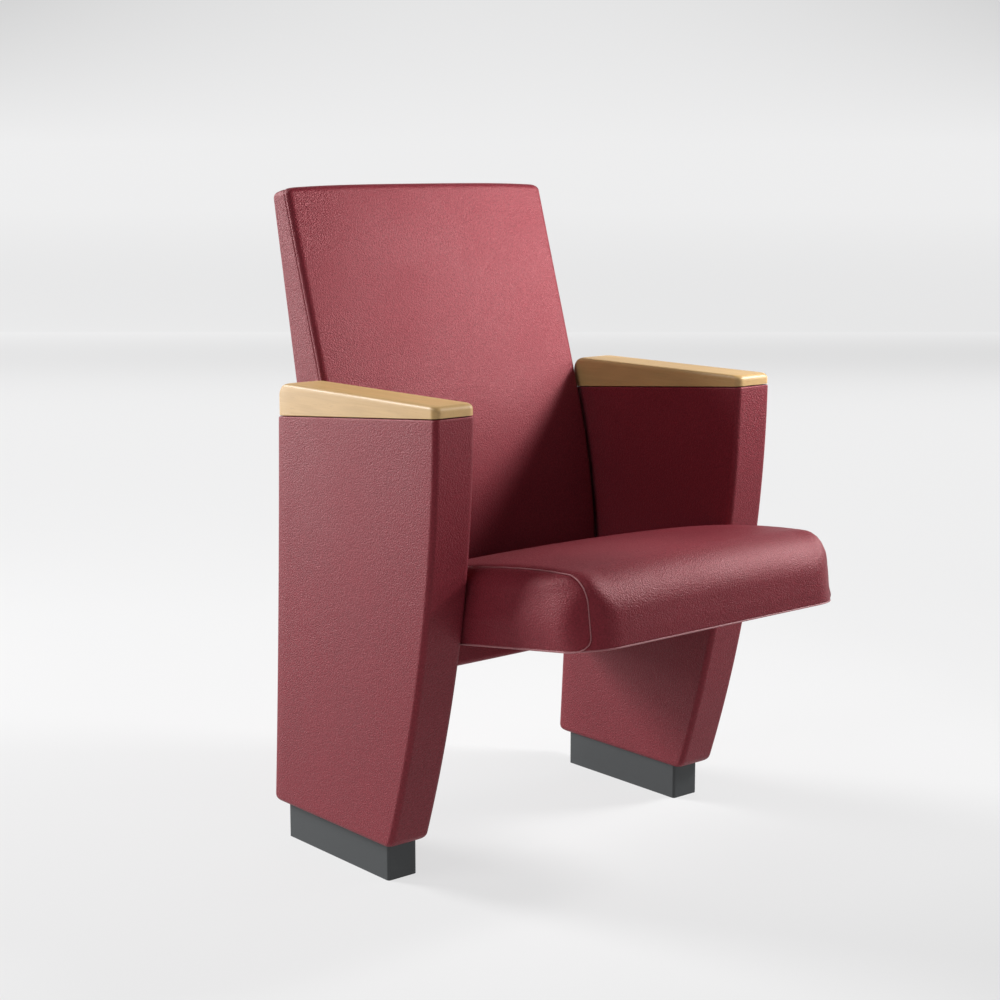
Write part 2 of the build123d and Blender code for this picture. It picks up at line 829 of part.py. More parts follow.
# Room for the boards, the arms and the stop crank inside the foam.
board_room = Pos((seat_board_front - seat_board_rear) / 2, 0) * RectangleRounded(
    seat_board_front + seat_board_rear + 2 * ease,
    2 * board_half + 2 * ease,
    seat_board_corner + ease,
)
room_in = board_half - seat_notch_width
room_out = pin_tip + ease
room_eye = arm_eye + 2 * ease
arm_room = seat_rod(room_eye, room_in, room_out, 0, pivot_drop)
arm_room += seat_block(room_in, room_out, -room_eye, room_eye, hollow_low, pivot_drop)
arm_room += seat_block(
    board_half, arm_out + ease, 0, arm_front + 2 * ease, hollow_low, board_top
)
seat_padding = cushion(layer)
seat_padding -= seat_block(-reach, reach, -reach, reach, -reach, hollow_low)
seat_padding -= seat_plan(board_room, 0, board_top)
seat_padding -= arm_room + mirrored(arm_room)
seat_padding -= axle_hole
seat_padding -= mirrored(axle_hole)

seat_bolts = []
for u in bolt_us:
    hole = seat_bolt(u, arm_bolt / 2 + screw_play, 0, True)
    seat_arm -= hole
    seat_board_solid -= hole
    seat_board_solid -= mirrored(hole)
    seat_bolts.append(seat_bolt(u, arm_bolt / 2, 4.0, False))


# -------------------------------------------------------------------- backrest
def back_outline(front, rear, top, foot, rounded=True):
    """Side view of the backrest; the four insets draw in its four faces."""
    recline = radians(back_recline)
    lean = radians(back_rear_recline)
    fall = radians(back_top_fall)
    up = (sin(recline), cos(recline))
    centre = (back_front_low + back_front_radius, back_bend_start)
    radius = back_front_radius - front
    bend_end = (centre[0] - radius * cos(recline), centre[1] + radius * sin(recline))
    bend_mid = (
        centre[0] - radius * cos(recline / 2),
        centre[1] + radius * sin(recline / 2),
    )
    bend_start = (centre[0] - radius, centre[1])
    foot_z = back_bottom + foot
    front_foot = (bend_start[0], foot_z)

    corner = (back_depth(back_top, 0), back_top)
    along = (cos(fall), -sin(fall))
    top_at = (corner[0] - top * sin(fall), corner[1] - top * cos(fall))
    front_top = meet(bend_end, up, top_at, along)

    rear_corner = (
        corner[0] + back_top_depth * cos(fall),
        corner[1] - back_top_depth * sin(fall),
    )
    down = (-sin(lean), -cos(lean))
    rear_line = (rear_corner[0] - rear * cos(lean), rear_corner[1] + rear * sin(lean))
    rear_top = meet(rear_line, down, top_at, along)
    rear_radius = (back_rear_bend_end - back_bottom) / sin(lean)
    pivot = rear_corner[0] - (rear_corner[1] - back_rear_bend_end) * sin(lean) / cos(lean)
    rear_centre = (pivot + rear_radius * cos(lean), back_bottom)
    swing = rear_radius + rear
    rear_end = (
        rear_centre[0] - swing * cos(lean),
        rear_centre[1] + swing * sin(lean),
    )
    half_lean = (lean + foot / swing) / 2
    rear_mid = (
        rear_centre[0] - swing * cos(half_lean),
        rear_centre[1] + swing * sin(half_lean),
    )
    rear_foot = (rear_centre[0] - sqrt(swing**2 - foot**2), foot_z)
    face = make_face(
        Line(front_foot, bend_start)
        + ThreePointArc(bend_start, bend_mid, bend_end)
        + Line(bend_end, front_top)
        + Line(front_top, rear_top)
        + Line(rear_top, rear_end)
        + ThreePointArc(rear_end, rear_mid, rear_foot)
        + Line(rear_foot, front_foot)
    )
    if rounded:
        face = fillet(near(face, front_top, 0.5), back_top_round - min(front, top))
    return face


def back_form(inset):
    """The upholstered backrest's crowned body, drawn in by inset."""
    half = back_half - inset
    edge = back_outline(inset + back_crown, inset, inset + back_top_crown, inset)
    full = back_outline(inset, inset, inset, inset)
    body = loft(
        [slice_at(edge, -half), slice_at(full, 0), slice_at(edge, half)]
    )
    rounded = []
    for face in body.faces().sort_by(Axis.X)[:1] + body.faces().sort_by(Axis.X)[-1:]:
        for e in face.edges():
            middle = e @ 0.5
            if middle.Y < back_depth(middle.Z, back_top_depth / 2):
                rounded.append(e)
    return fillet(rounded, back_side_round - inset)


def slice_at(face, x):
    """A (y, z) face stood at x."""
    return Plane.YZ.offset(x) * face


def ahead(inset):
    """Everything in front of the backrest's rear face, drawn in by inset."""
    wide = back_outline(-back_ample, inset, -back_ample, -back_ample, rounded=False)
    return slab(wide, -half_span, half_span)


def layered(front_a, front_b, rear, top, foot):
    """Side view of a bent layer between two insets of the front face."""
    whole = back_outline(front_a, rear, top, foot, rounded=False)
    rest = back_outline(front_b, rear - 1, top - 1, foot - 1, rounded=False)
    return whole - rest


back_inner = layer + back_foam
board_face_in = back_inner + ease
rail_in = board_face_in + back_board + ease
rail_out_x = back_half - back_board_inset
rail_in_x = rail_out_x - rail_size
rear_board_front = layer + back_rear_board

outer_back = back_form(0)
back_ahead = ahead(cover)
back_rear_cover = outer_back - back_ahead
back_skin = (outer_back & back_ahead) - back_form(cover)
seam_at = back_half - back_side_round
middle_zone = block(-seam_at, seam_at, -far, far, 0, 2 * far)
back_front_cover = back_skin & middle_zone
back_side_bands = back_skin - middle_zone

core_outline = back_outline(back_inner, -back_ample, back_top_foam, -back_ample, rounded=False)
back_padding = back_form(layer) - slab(core_outline, -rail_out_x - ease, rail_out_x + ease)

back_front_board = slab(
    layered(board_face_in, board_face_in + back_board, layer, back_top_foam + ease, layer),
    -rail_out_x,
    rail_out_x,
)
rear_layer = back_outline(
    board_face_in + back_board, layer, back_top_foam + ease, layer, rounded=False
)
rear_layer -= back_outline(
    board_face_in, rear_board_front, back_top_foam - 1, layer - 1, rounded=False
)
back_rear_board_solid = slab(rear_layer, -rail_out_x, rail_out_x)

rail_zone = Pos(0, rail_top / 2) * Rectangle(4 * far, rail_top)
rail_face = layered(rail_in, rail_in + rail_size, layer, back_top_foam, layer + ease)
rail_bore = layered(
    rail_in + rail_wall, rail_in + rail_size - rail_wall, layer, back_top_foam, -1
)
back_rail = slab(rail_face & rail_zone, rail_in_x, rail_out_x)
back_rail -= slab(rail_bore & rail_zone, rail_in_x + rail_wall, rail_out_x - rail_wall)


between_boards = back_outline(
    board_face_in + back_board + ease,
    rear_board_front + ease,
    back_top_foam + ease,
    layer + ease,
    rounded=False,
)


def batten(low, high, half):
    """A wooden bar between the two boards of the backrest."""
    band = Pos(0, (low + high) / 2) * Rectangle(4 * far, high - low)
    return slab(between_boards & band, -half, half)


top_batten_low = back_top - back_top_foam - back_top_depth * sin(radians(back_top_fall))
top_batten_low -= back_batten
back_battens = [
    batten(top_batten_low, 2 * back_top, rail_out_x),
    batten(rail_top + ease, rail_top + ease + back_batten, rail_out_x),
    batten(0, back_bottom + layer + back_batten, rail_in_x - ease),
]

bolts = []
nuts = []
spacers = []
for y, z in bolt_places:
    head_in = rail_in_x - back_bolt_head_height
    nut_out = plate_out + back_nut_height
    shank = rod(back_bolt / 2, head_in, nut_out, y, z)
    bolts.append(hexagon(back_bolt_head, head_in, rail_in_x, y, z) + shank)
    nut = hexagon(back_nut, plate_out, nut_out, y, z)
    nuts.append(nut - rod(back_bolt / 2 + screw_play, plate_out, nut_out, y, z))
    sleeve = rod(spacer_outer / 2, rail_out_x, plate_in, y, z)
    spacers.append(sleeve - rod(back_bolt / 2 + 2 * screw_play, rail_out_x, plate_in, y, z))
    passage = rod(spacer_outer / 2 + 0.2, rail_out_x, half_span, y, z)
    back_padding -= passage
    back_padding -= mirrored(passage)
    back_side_bands -= passage
    back_side_bands -= mirrored(passage)
    back_rail -= rod(back_bolt / 2 + screw_play, rail_in_x, rail_out_x, y, z)

# ---------------------------------------------------------------------- output
sided = {
    "base_plate": base_plate,
    "foot_cover": foot_cover,
    "post": post,
    "side_plate": side_plate,
    "outer_board": outer_board,
    "inner_board": inner_board,
    "front_rib": front_rib,
    "rear_rib": rear_rib,
    "cross_rails": group(low_rail, high_rail),
    "panel_padding": foam,
    "panel_cover": skin,
    "arm_cap": arm_cap,
    "hinge_axle": hinge_axle,
    "stop_crank": stop_crank,
    "back_rail": back_rail,
    "seat_arm": seat_arm,
    "pivot_bush": pivot_bush,
    "return_spring": torsion_spring(),
}
shared = {
    "arm_cap_screws": both(group(*cap_screws)),
    "axle_screws": both(group(*screws)),
    "axle_clips": both(axle_clip),
    "stop_buffers": both(buffer_sleeve),
    "back_bolts": both(group(*bolts)),
    "back_bolt_nuts": both(group(*nuts)),
    "back_spacers": both(group(*spacers)),
    "back_front_board": back_front_board,
    "back_rear_board": back_rear_board_solid,
    "back_battens": group(*back_battens),
    "back_padding": back_padding,
    "back_front_cover": back_front_cover,
    "back_side_bands": back_side_bands,
    "back_rear_cover": back_rear_cover,
    "seat_board": seat_board_solid,
    "seat_battens": group(*battens),
    "seat_base_board": seat_base_board,
    "seat_base_cover": seat_base_cover,
    "seat_padding": seat_padding,
    "seat_cover": seat_cover,
    "left_seat_side_cover": left_seat_side_cover,
    "right_seat_side_cover": right_seat_side_cover,
    "seat_arm_screws": both(group(*seat_bolts)),
}

nodes = dict(shared)
for name, shape in sided.items():
    nodes["right_" + name] = shape
    nodes["left_" + name] = mirrored(shape)

everything = []
for name, shape in nodes.items():
    solids = shape.solids()
    everything.extend(solids)
    export_step(solids[0] if len(solids) == 1 else Compound(children=[*solids]), f"parts/{name}.step")

box = Compound(children=everything).bounding_box()
print("nodes", len(nodes), "box", box.min, box.max)
print("turns clear each other by", round(spring_pitch - spring_wire, 2))
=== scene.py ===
from math import cos, pi, radians, sin

import bmesh
import bpy
import numpy as np
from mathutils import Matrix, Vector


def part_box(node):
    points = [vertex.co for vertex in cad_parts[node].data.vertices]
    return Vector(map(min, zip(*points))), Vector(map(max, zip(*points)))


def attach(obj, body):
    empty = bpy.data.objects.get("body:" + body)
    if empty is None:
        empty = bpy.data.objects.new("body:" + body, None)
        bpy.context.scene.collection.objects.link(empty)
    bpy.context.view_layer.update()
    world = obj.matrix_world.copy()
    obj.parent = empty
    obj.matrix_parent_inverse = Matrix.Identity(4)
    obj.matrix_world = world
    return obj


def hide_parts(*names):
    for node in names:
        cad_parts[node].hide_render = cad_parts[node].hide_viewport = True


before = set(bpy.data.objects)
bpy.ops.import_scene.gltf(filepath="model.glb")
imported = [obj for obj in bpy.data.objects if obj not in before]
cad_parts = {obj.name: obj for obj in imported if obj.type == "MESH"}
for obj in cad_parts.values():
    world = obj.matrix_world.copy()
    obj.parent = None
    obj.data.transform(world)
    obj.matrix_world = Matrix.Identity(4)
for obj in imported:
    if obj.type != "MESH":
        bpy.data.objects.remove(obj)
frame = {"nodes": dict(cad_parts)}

bl_info = {
    "name": "Tip-up auditorium seat",
    "version": (1, 0, 0),
    "blender": (4, 5, 0),
    "location": "3D View > Sidebar > Seat",
    "description": "Tip-up seat: upholstery, wooden arm caps, finishes and a studio",
    "category": "Add Mesh",
}

MM = 0.001  # the sizes in the code are in millimetres, the properties in metres
TINY = 1e-9  # keeps a length of nothing from being divided by

# Seat: its hinge, and the lines of its underside and its crowned top.
TILT = radians(8.01)
UP = np.array([0.0, sin(TILT), cos(TILT)])  # square to the underside
PIVOT = (64.1, 360.7)  # y and z of the hinge
PIVOT_DROP = 40.0  # underside of the seat to the hinge
CROWN_AT = 230.0  # hinge to the highest line of the top
FRONT_SWEEP, REAR_SWEEP = 1250.0, 1500.0  # radii of the top ahead of that line and behind it
REAR_CORNER = 25.0  # radius of the rear corners, seen from above
SIDE_FRONT_ROUND = 35.0  # radius between the top and the front, at the sides
SIDE_REAR_ROUND, REAR_ROUND = 27.0, 35.0  # top to rear, at the sides and inwards of them
FOOT_ROUND = 4.0  # radius at the underside
FLOOR_ROUND = 3.0  # radius by which the underside rises to the sides
SEAM_REACH = (6.5, 3.0)  # how far a seam pulls, towards the middle and the side
PILLOW_AT, PILLOW_EASE = 255.0, 70.0  # where the side swells, ahead of the hinge
# Points of a section: underside, front foot, front face, front arc, top.
UNDER_STEPS, FOOT_STEPS, FACE_STEPS, ARC_STEPS, TOP_STEPS = 40, 10, 12, 26, 56

# Backrest: its front face from the foot up, and its rear face.
BACK_FOOT = 227.0
BACK_FACE = 160.5  # y of the plumb part of the front face
BACK_BEND, BACK_BEND_RADIUS, RECLINE = 320.0, 1040.0, radians(17.0)
BACK_TOP = 942.8  # front upper corner before it is rounded
REAR_TOP = (344.5, 933.0)  # y and z of the rear upper corner
REAR_BEND_END, REAR_LEAN = 560.0, radians(10.8)

# Panels: (y, z) of their edges at the foot and under the arm cap.
FRONT_EDGE = ((-19.0, 52.0), (-125.5, 652.0))
REAR_EDGE = ((263.0, 52.0), (236.0, 621.0))
FRONT_BOW, REAR_HOLLOW = 25.0, 2.5
TOP_ROUND = 2.0  # a panel's upper edges, under the cap
CAP_REAR = 233.5  # y of an arm cap's rear end
CAP_DEPTH = 46.0
CAP_FOOT_ROUND, CAP_FRONT_ROUND = 1.2, 8.0

# Points of a rounded plan: half its front edge, and its front corner.
LINE_POINTS, CORNER_POINTS = 25, 12

# Studio, seen from above: the camera's way and what lies to its right.
AHEAD, ASIDE = (0.6425, 0.7663), (0.7663, -0.6425)


# --- curves
def fallen(distance, radius):
    """How far a rounded edge has dropped at a distance from its side.

    A quarter circle: radius - sqrt(radius^2 - (radius - distance)^2), and zero past the radius.
    """
    near = np.clip(radius - distance, 0.0, radius)
    return radius - np.sqrt(np.maximum(radius * radius - near * near, 0.0))


def eased(share):
    """Smooth step 3s^2 - 2s^3, held at 0 and 1 outside the range."""
    s = np.clip(share, 0.0, 1.0)
    return s * s * (3.0 - 2.0 * s)


def ridge(distance, width):
    """Bell curve exp(-(distance / width)^2)."""
    return np.exp(-((distance / width) ** 2))


def seat_place(x, u, v):
    """Seat coordinates (across, forward of the hinge, above the underside) to millimetres."""
    y = PIVOT[0] - u * cos(TILT) + (v - PIVOT_DROP) * sin(TILT)
    z = PIVOT[1] + u * sin(TILT) + (v - PIVOT_DROP) * cos(TILT)
    return np.stack(np.broadcast_arrays(x, y, z), axis=-1)


def unit(vectors):
    """The same directions with length 1."""
    return vectors / np.maximum(np.linalg.norm(vectors, axis=-1, keepdims=True), TINY)


def outward(grid):
    """Unit normals of a grid of points: cross product of its two central differences."""
    down = np.gradient(grid, axis=0)
    wrap = np.concatenate([grid[:, -1:], grid, grid[:, :1]], axis=1)
    along = (wrap[:, 2:] - wrap[:, :-2]) / 2.0
    return unit(np.cross(down, along))


# --- meshes
def loop_faces(upper, lower):
    """Corners of the faces between two sets of closed loops of point numbers."""
    return np.stack([upper, np.roll(upper, -1, -1), np.roll(lower, -1, -1), lower], axis=-1)


def mesh_of(name, points, faces):
    """A mesh of four-cornered faces; the points are in millimetres."""
    mesh = bpy.data.meshes.new(name)
    mesh.from_pydata((points.reshape(-1, 3) * MM).tolist(), [], faces.reshape(-1, 4).tolist())
    return mesh


def linked(name, data):
    """A new object of the scene."""
    piece = bpy.data.objects.new(name, data)
    bpy.context.scene.collection.objects.link(piece)
    return piece


def skin(name, rows, closed_rows=False):
    """A mesh over rows of closed loops: rows[i, j] joins rows[i + 1, j] and its neighbour."""
    count, size = rows.shape[:2]
    index = np.arange(count * size).reshape(count, size)
    if closed_rows:
        upper, lower = index, np.roll(index, -1, axis=0)
    else:
        upper, lower = index[:-1], index[1:]
    return finish_mesh(name, mesh_of(name, rows, loop_faces(upper, lower)))


def finish_mesh(name, mesh):
    """Welds doubles, turns the faces outwards and shades them smooth."""
    work = bmesh.new()
    work.from_mesh(mesh)
    bmesh.ops.remove_doubles(work, verts=work.verts, dist=2e-6)
    bmesh.ops.dissolve_degenerate(work, edges=work.edges, dist=1e-6)
    bmesh.ops.recalc_face_normals(work, faces=work.faces)
    work.to_mesh(mesh)
    work.free()
    mesh.shade_smooth()
    return linked(name, mesh)


def capped(rows, steps, bulge_first=None, bulge_last=None):
    """Closes a stack of loops at both ends with rings that shrink to the loop's centre.

    Ring k is centre + (loop - centre) * (1 - k / steps); a bulge adds bulge * (1 - r^2).
    """

    def rings(loop, bulge):
        centre = loop.mean(axis=0)
        radius = np.linspace(1.0, 0.0, steps + 1)[1:, None, None]
        flat = centre + (loop - centre) * radius
        if bulge is not None:
            flat = flat + np.asarray(bulge) * (1.0 - radius**2)
        return flat

    first = rings(rows[0], bulge_first)[::-1]
    last = rings(rows[-1], bulge_last)
    return np.concatenate([first, rows, last], axis=0)


def cross_frame(path, towards):
    """Unit tangent, a direction square to it and the third axis, along a closed path.

    Tangent = next point - last point; the second axis is `towards` less its tangent part.
    """
    tangent = unit(np.roll(path, -1, axis=0) - np.roll(path, 1, axis=0))
    square = np.broadcast_to(towards, path.shape)
    square = unit(square - tangent * np.sum(square * tangent, axis=-1, keepdims=True))
    return tangent, square, np.cross(tangent, square)


def bead(name, path, across, radius, sides):
    """A round cord carried along a closed path.

    Ring = path + radius * (cos a * across + sin a * side), side = tangent x across.
    """
    _, across, side = cross_frame(path, across)
    angle = np.linspace(0, 2 * pi, sides, endpoint=False)
    ring = np.cos(angle)[:, None] * across[:, None] + np.sin(angle)[:, None] * side[:, None]
    return skin(name, path[:, None] + radius * ring, closed_rows=True)


def resampled(path, pitch):
    """The same closed path with points one pitch apart, by its running length."""
    loop = np.concatenate([path, path[:1]])
    step = np.linalg.norm(np.diff(loop, axis=0), axis=1)
    length = np.concatenate([[0.0], np.cumsum(step)])
    count = max(int(length[-1] / pitch), 8)
    at = np.linspace(0.0, length[-1], count, endpoint=False)
    return np.stack([np.interp(at, length, loop[:, k]) for k in range(3)], axis=-1)


def stitches(name, path, lift, length, thickness):
    """Sewn stitches: one small spindle at every point of a closed path.

    Spindle = centre + x * tangent + r(x) * (cos a * lift + sin a * side), r an ellipse.
    """
    tangent, lift, side = cross_frame(path, lift)
    turn = np.linspace(0.0, pi, 6)
    along = -np.cos(turn) * length / 2
    wide = np.sin(turn) * thickness / 2
    angle = np.linspace(0, 2 * pi, 6, endpoint=False)
    path, tangent, lift, side = (a[:, None, None] for a in (path, tangent, lift, side))
    along, wide, angle = along[:, None, None], wide[:, None, None], angle[:, None]
    grid = path + along * tangent + wide * (np.cos(angle) * lift + np.sin(angle) * side)
    count, rows, size = grid.shape[:3]
    index = np.arange(count * rows * size).reshape(count, rows, size)
    faces = loop_faces(index[:, :-1], index[:, 1:])
    return finish_mesh(name, mesh_of(name, grid, faces))


def joined(parts):
    """Pairs of coordinates, one pair per part of an outline, as two arrays a section a row."""
    parts = [np.broadcast_arrays(*pair) for pair in parts]
    return [np.concatenate([part[k] for part in parts], axis=1) for k in (0, 1)]


def rounded_plan(half, length, front_round, rear_round):
    """Loops of a rounded rectangle (x across, t from front to rear), one per station.

    Right half: front line, front quarter circle, side line, rear quarter circle, rear line;
    the left half is its mirror image.
    """
    given = (half, length, front_round, rear_round)
    h, n, rf, rr = (np.asarray(a, float).reshape(-1, 1) for a in given)
    line = np.linspace(0.0, 1.0, LINE_POINTS + 1)[None, :-1]
    turn = np.linspace(0.0, pi / 2, CORNER_POINTS + 1)[None, :-1]
    dense = np.linspace(0.0, 1.0, 25)[None, :-1] ** 1.6
    small = np.linspace(0.0, pi / 2, 7)[None, :-1]
    back = np.linspace(1.0, 0.0, LINE_POINTS + 1)[None, :]
    parts = (
        ((h - rf) * line, 0.0),
        (h - rf + rf * np.sin(turn), rf - rf * np.cos(turn)),
        (h, rf + (n - rf - rr) * dense),
        (h - rr + rr * np.cos(small), n - rr + rr * np.sin(small)),
        ((h - rr) * back, n),
    )
    x, t = joined(parts)
    x = np.concatenate([x, -x[:, -2:0:-1]], axis=1)
    t = np.concatenate([t, t[:, -2:0:-1]], axis=1)
    return x, t


def on_chord(front, rear, share):
    """Front + (rear - front) * share, where front and rear are one number per section."""
    return front[:, None] + (rear - front)[:, None] * share


# --- properties
def strength_of(name, description, default, unit="NONE"):
    """A number that a user can change."""
    return bpy.props.FloatProperty(name=name, description=description, default=default, unit=unit)


def length_of(name, description, default):
    """A size, in metres."""
    return strength_of(name, description, default, "LENGTH")


def power_of(name, description, default):
    """A lamp's power, in watts."""
    return strength_of(name, description, default, "POWER")


def colour_of(name, description, *rgb):
    """A colour that a user can change."""
    look = {"subtype": "COLOR", "size": 4, "min": 0.0, "max": 1.0}
    return bpy.props.FloatVectorProperty(
        name=name, description=description, default=(*rgb, 1.0), **look
    )


# --- materials
class Wire:
    """One socket of a material, so that a recipe reads like arithmetic."""

    def __init__(self, recipe, socket):
        self.recipe = recipe
        self.socket = socket

    def _math(self, operation, first, second=0.0):
        return self.recipe.node("Math", {0: first, 1: second}, {"operation": operation})

    def __add__(self, other):
        return self._math("ADD", self, other)

    def __radd__(self, other):
        return self._math("ADD", other, self)

    def __sub__(self, other):
        return self._math("SUBTRACT", self, other)

    def __rsub__(self, other):
        return self._math("SUBTRACT", other, self)

    def __mul__(self, other):
        return self._math("MULTIPLY", self, other)

    def __truediv__(self, other):
        return self._math("DIVIDE", self, other)

    def __rtruediv__(self, other):
        return self._math("DIVIDE", other, self)

    def sine(self):
        """The sine of this value."""
        return self._math("SINE", self)

    def between(self, low, high, to_low=0.0, to_high=1.0):
        """This value's place between low and high, clamped, on a new range."""
        inputs = {0: self, 1: low, 2: high, 3: to_low, 4: to_high}
        return self.recipe.node("MapRange", inputs)

    def blend(self, first, second):
        """A colour between first and second, by this value."""
        return self.recipe.node(
            "Mix", {0: self, 6: first, 7: second}, {"data_type": "RGBA"}, output=2
        )


    def shades(self, colour, dark, light):
        """A colour made darker to lighter, by this value."""
        return self.blend(toned(colour, dark), toned(colour, light))


class Recipe:
    """One material: nodes come from `node`, and `made` wires them to the shader."""

    def __init__(self, name):
        self.material = bpy.data.materials.new(name)
        self.material.use_nodes = True
        self.tree = self.material.node_tree
        self.shader = self.tree.nodes["Principled BSDF"]

    def node(self, kind, inputs=None, settings=None, output=0):
        """Any shader node by its short name; inputs are set or linked by name or number."""
        made = self.tree.nodes.new("ShaderNode" + kind)
        for key, value in (settings or {}).items():
            setattr(made, key, value)
        for key, value in (inputs or {}).items():
            if isinstance(value, Wire):
                self.tree.links.new(value.socket, made.inputs[key])
            else:
                made.inputs[key].default_value = value
        return Wire(self, made.outputs[output])

    def place(self, stretch=(1.0, 1.0, 1.0)):
        """Object coordinates, stretched."""
        where = self.node("TexCoord", output="Object")
        return self.node("Mapping", {"Vector": where, "Scale": stretch})

    def noise(self, scale, detail=2.0, rough=0.5, where=None, twist=0.0):
        """Noise with cells one over scale metres wide."""
        inputs = {"Scale": scale, "Detail": detail, "Roughness": rough, "Distortion": twist}
        inputs["Vector"] = where or self.place()
        return self.node("TexNoise", inputs)

    def cells(self, scale):
        """Distance inside rounded cells one over scale metres wide."""
        inputs = {"Scale": scale, "Smoothness": 0.35, "Vector": self.place()}
        return self.node("TexVoronoi", inputs, {"feature": "SMOOTH_F1"})

    def bump(self, height, depth, strength):
        """A bumped normal; depth is in metres."""
        inputs = {"Height": height, "Distance": depth, "Strength": strength}
        return self.node("Bump", inputs)

    def made(self, colour, roughness, normal=None, metallic=0.0, **fixed):
        """Links colour, roughness and normal; everything else is a constant."""
        for key, value in (("Base Color", colour), ("Roughness", roughness), ("Normal", normal)):
            if isinstance(value, Wire):
                self.tree.links.new(value.socket, self.shader.inputs[key])
            elif value is not None:
                self.shader.inputs[key].default_value = value
        self.shader.inputs["Metallic"].default_value = metallic
        for key, value in fixed.items():
            self.shader.inputs[key.replace("_", " ")].default_value = value
        return self.material


def toned(colour, factor):
    """A colour property made darker or lighter, with alpha 1."""
    return (*[min(max(c * factor, 0.0), 1.0) for c in colour[:3]], 1.0)


def leather(name, colour):
    """Coated burgundy upholstery: pebbled grain, soft mottling and sheen, and a fine speckle of
    tone that is partly the leather's own and partly a painted stand-in for its grain's glints.
    """
    r = Recipe(name)
    pebble = r.cells(520.0)
    speckle_and_glint = r.noise(430.0, 3.0, 0.6)
    pores = r.noise(1500.0)
    mottle = r.noise(9.0, 3.0)
    # The strong speckle in the colour is partly random tone and partly painted glints of the
    # grain.
    tone = speckle_and_glint.between(0.34, 0.66) * 0.62 + pebble.between(0.1, 0.6) * 0.2 + mottle * 0.25
    shade = tone.shades(colour, 0.66, 1.4)
    relief = speckle_and_glint * 0.55 + pores * 0.2 - pebble * 0.5
    rough = speckle_and_glint.between(0.3, 0.7, 0.56, 0.46) + mottle.between(0.3, 0.7, -0.03, 0.03)
    return r.made(
        shade,
        rough,
        r.bump(relief, 0.0011, 0.8),
        Sheen_Weight=0.035,
        Sheen_Roughness=0.4,
        Sheen_Tint=(1.0, 0.45, 0.47, 1.0),
        Specular_IOR_Level=0.45,
        Specular_Tint=(1.0, 0.38, 0.4, 1.0),
    )


def thread(name, colour):
    """Sewing thread and piping edge with a fine lay; its colour is lighter than the upholstery's,
    partly its own tone and partly a painted highlight along the thin cords.
    """
    r = Recipe(name)
    lay = r.noise(2600.0)
    shade = lay.shades(colour, 0.8, 1.15)
    return r.made(shade, 0.55, r.bump(lay, 0.0002, 0.4), Sheen_Weight=0.2)


def lacquered_wood(name, colour, gloss=0.5):
    """Pale wood along Y: growth bands, fine fibres, pores and a thin clear coat."""
    r = Recipe(name)
    drift = r.noise(3.2, 2.0, 0.5, r.place((1.0, 0.35, 1.0)))
    rings = r.noise(26.0, 2.0, 0.5, r.place((1.0, 0.09, 1.0)), 0.6)
    bands = (rings * 34.0 + drift * 9.0).sine()
    fibre = r.noise(420.0, 4.0, 0.6, r.place((1.0, 0.035, 1.0)))
    pores = r.noise(900.0, 2.0, 0.5, r.place((1.0, 0.06, 1.0)))
    tone = bands.between(-1.0, 1.0) * 0.28 + fibre.between(0.3, 0.7) * 0.4 + drift * 0.35
    base = tone.shades(colour, 0.86, 1.07)
    dark = pores.between(0.64, 0.74, 0.0, 0.5)
    shade = dark.blend(base, toned(colour, 0.66))
    rough = fibre.between(0.3, 0.7, gloss + 0.06, gloss - 0.04)
    normal = r.bump(fibre * 0.6 - dark * 0.5, 0.00012, 0.35)
    coat = {"Specular_IOR_Level": 0.3, "Coat_Weight": 0.1, "Coat_Roughness": 0.3}
    return r.made(shade, rough, normal, **coat)


def plywood(name, colour):
    """Birch plywood: thin plies across X, slight fibre and rough sawn edges."""
    r = Recipe(name)
    plies = (r.node("SeparateXYZ", {0: r.place()}, output=0) * 3600.0).sine()
    fibre = r.noise(300.0, 3.0, 0.6, r.place((1.0, 0.05, 1.0)))
    tone = plies.between(-0.6, 0.6) * 0.35 + fibre * 0.6
    shade = tone.shades(colour, 0.74, 1.06)
    return r.made(shade, 0.62, r.bump(fibre, 0.0003, 0.4))


def painted_steel(name, colour, rough):
    """Powder coat: orange peel, slight tone drift and a slightly darker tone in the peel's low
    places.
    """
    r = Recipe(name)
    peel = r.noise(900.0, 3.0, 0.55)
    drift = r.noise(14.0, 3.0)
    shade = (drift * 0.7 + peel * 0.3).shades(colour, 0.85, 1.14)
    level = drift.between(0.3, 0.7, rough - 0.05, rough + 0.06)
    return r.made(shade, level, r.bump(peel, 0.00012, 0.35), Specular_IOR_Level=0.5)


def plated_steel(name, colour, rough=0.32):
    """Zinc or bright spring steel: drawn streaks, cloudy patches and small scratches."""
    r = Recipe(name)
    streak = r.noise(700.0, 4.0, 0.6, r.place((1.0, 0.12, 1.0)))
    cloud = r.noise(60.0, 3.0)
    shade = (streak * 0.5 + cloud * 0.5).shades(colour, 0.72, 1.1)
    level = cloud.between(0.3, 0.7, rough - 0.06, rough + 0.12)
    return r.made(shade, level, r.bump(streak, 0.00008, 0.3), metallic=0.92)


def moulded(name, colour, rough):
    """Nylon or rubber: fine moulded texture with soft tone changes."""
    r = Recipe(name)
    fine = r.noise(1400.0)
    drift = r.noise(40.0)
    shade = (fine * 0.4 + drift * 0.6).shades(colour, 0.84, 1.14)
    return r.made(shade, rough, r.bump(fine, 0.0001, 0.3))


DOT = {"operation": "DOT_PRODUCT"}


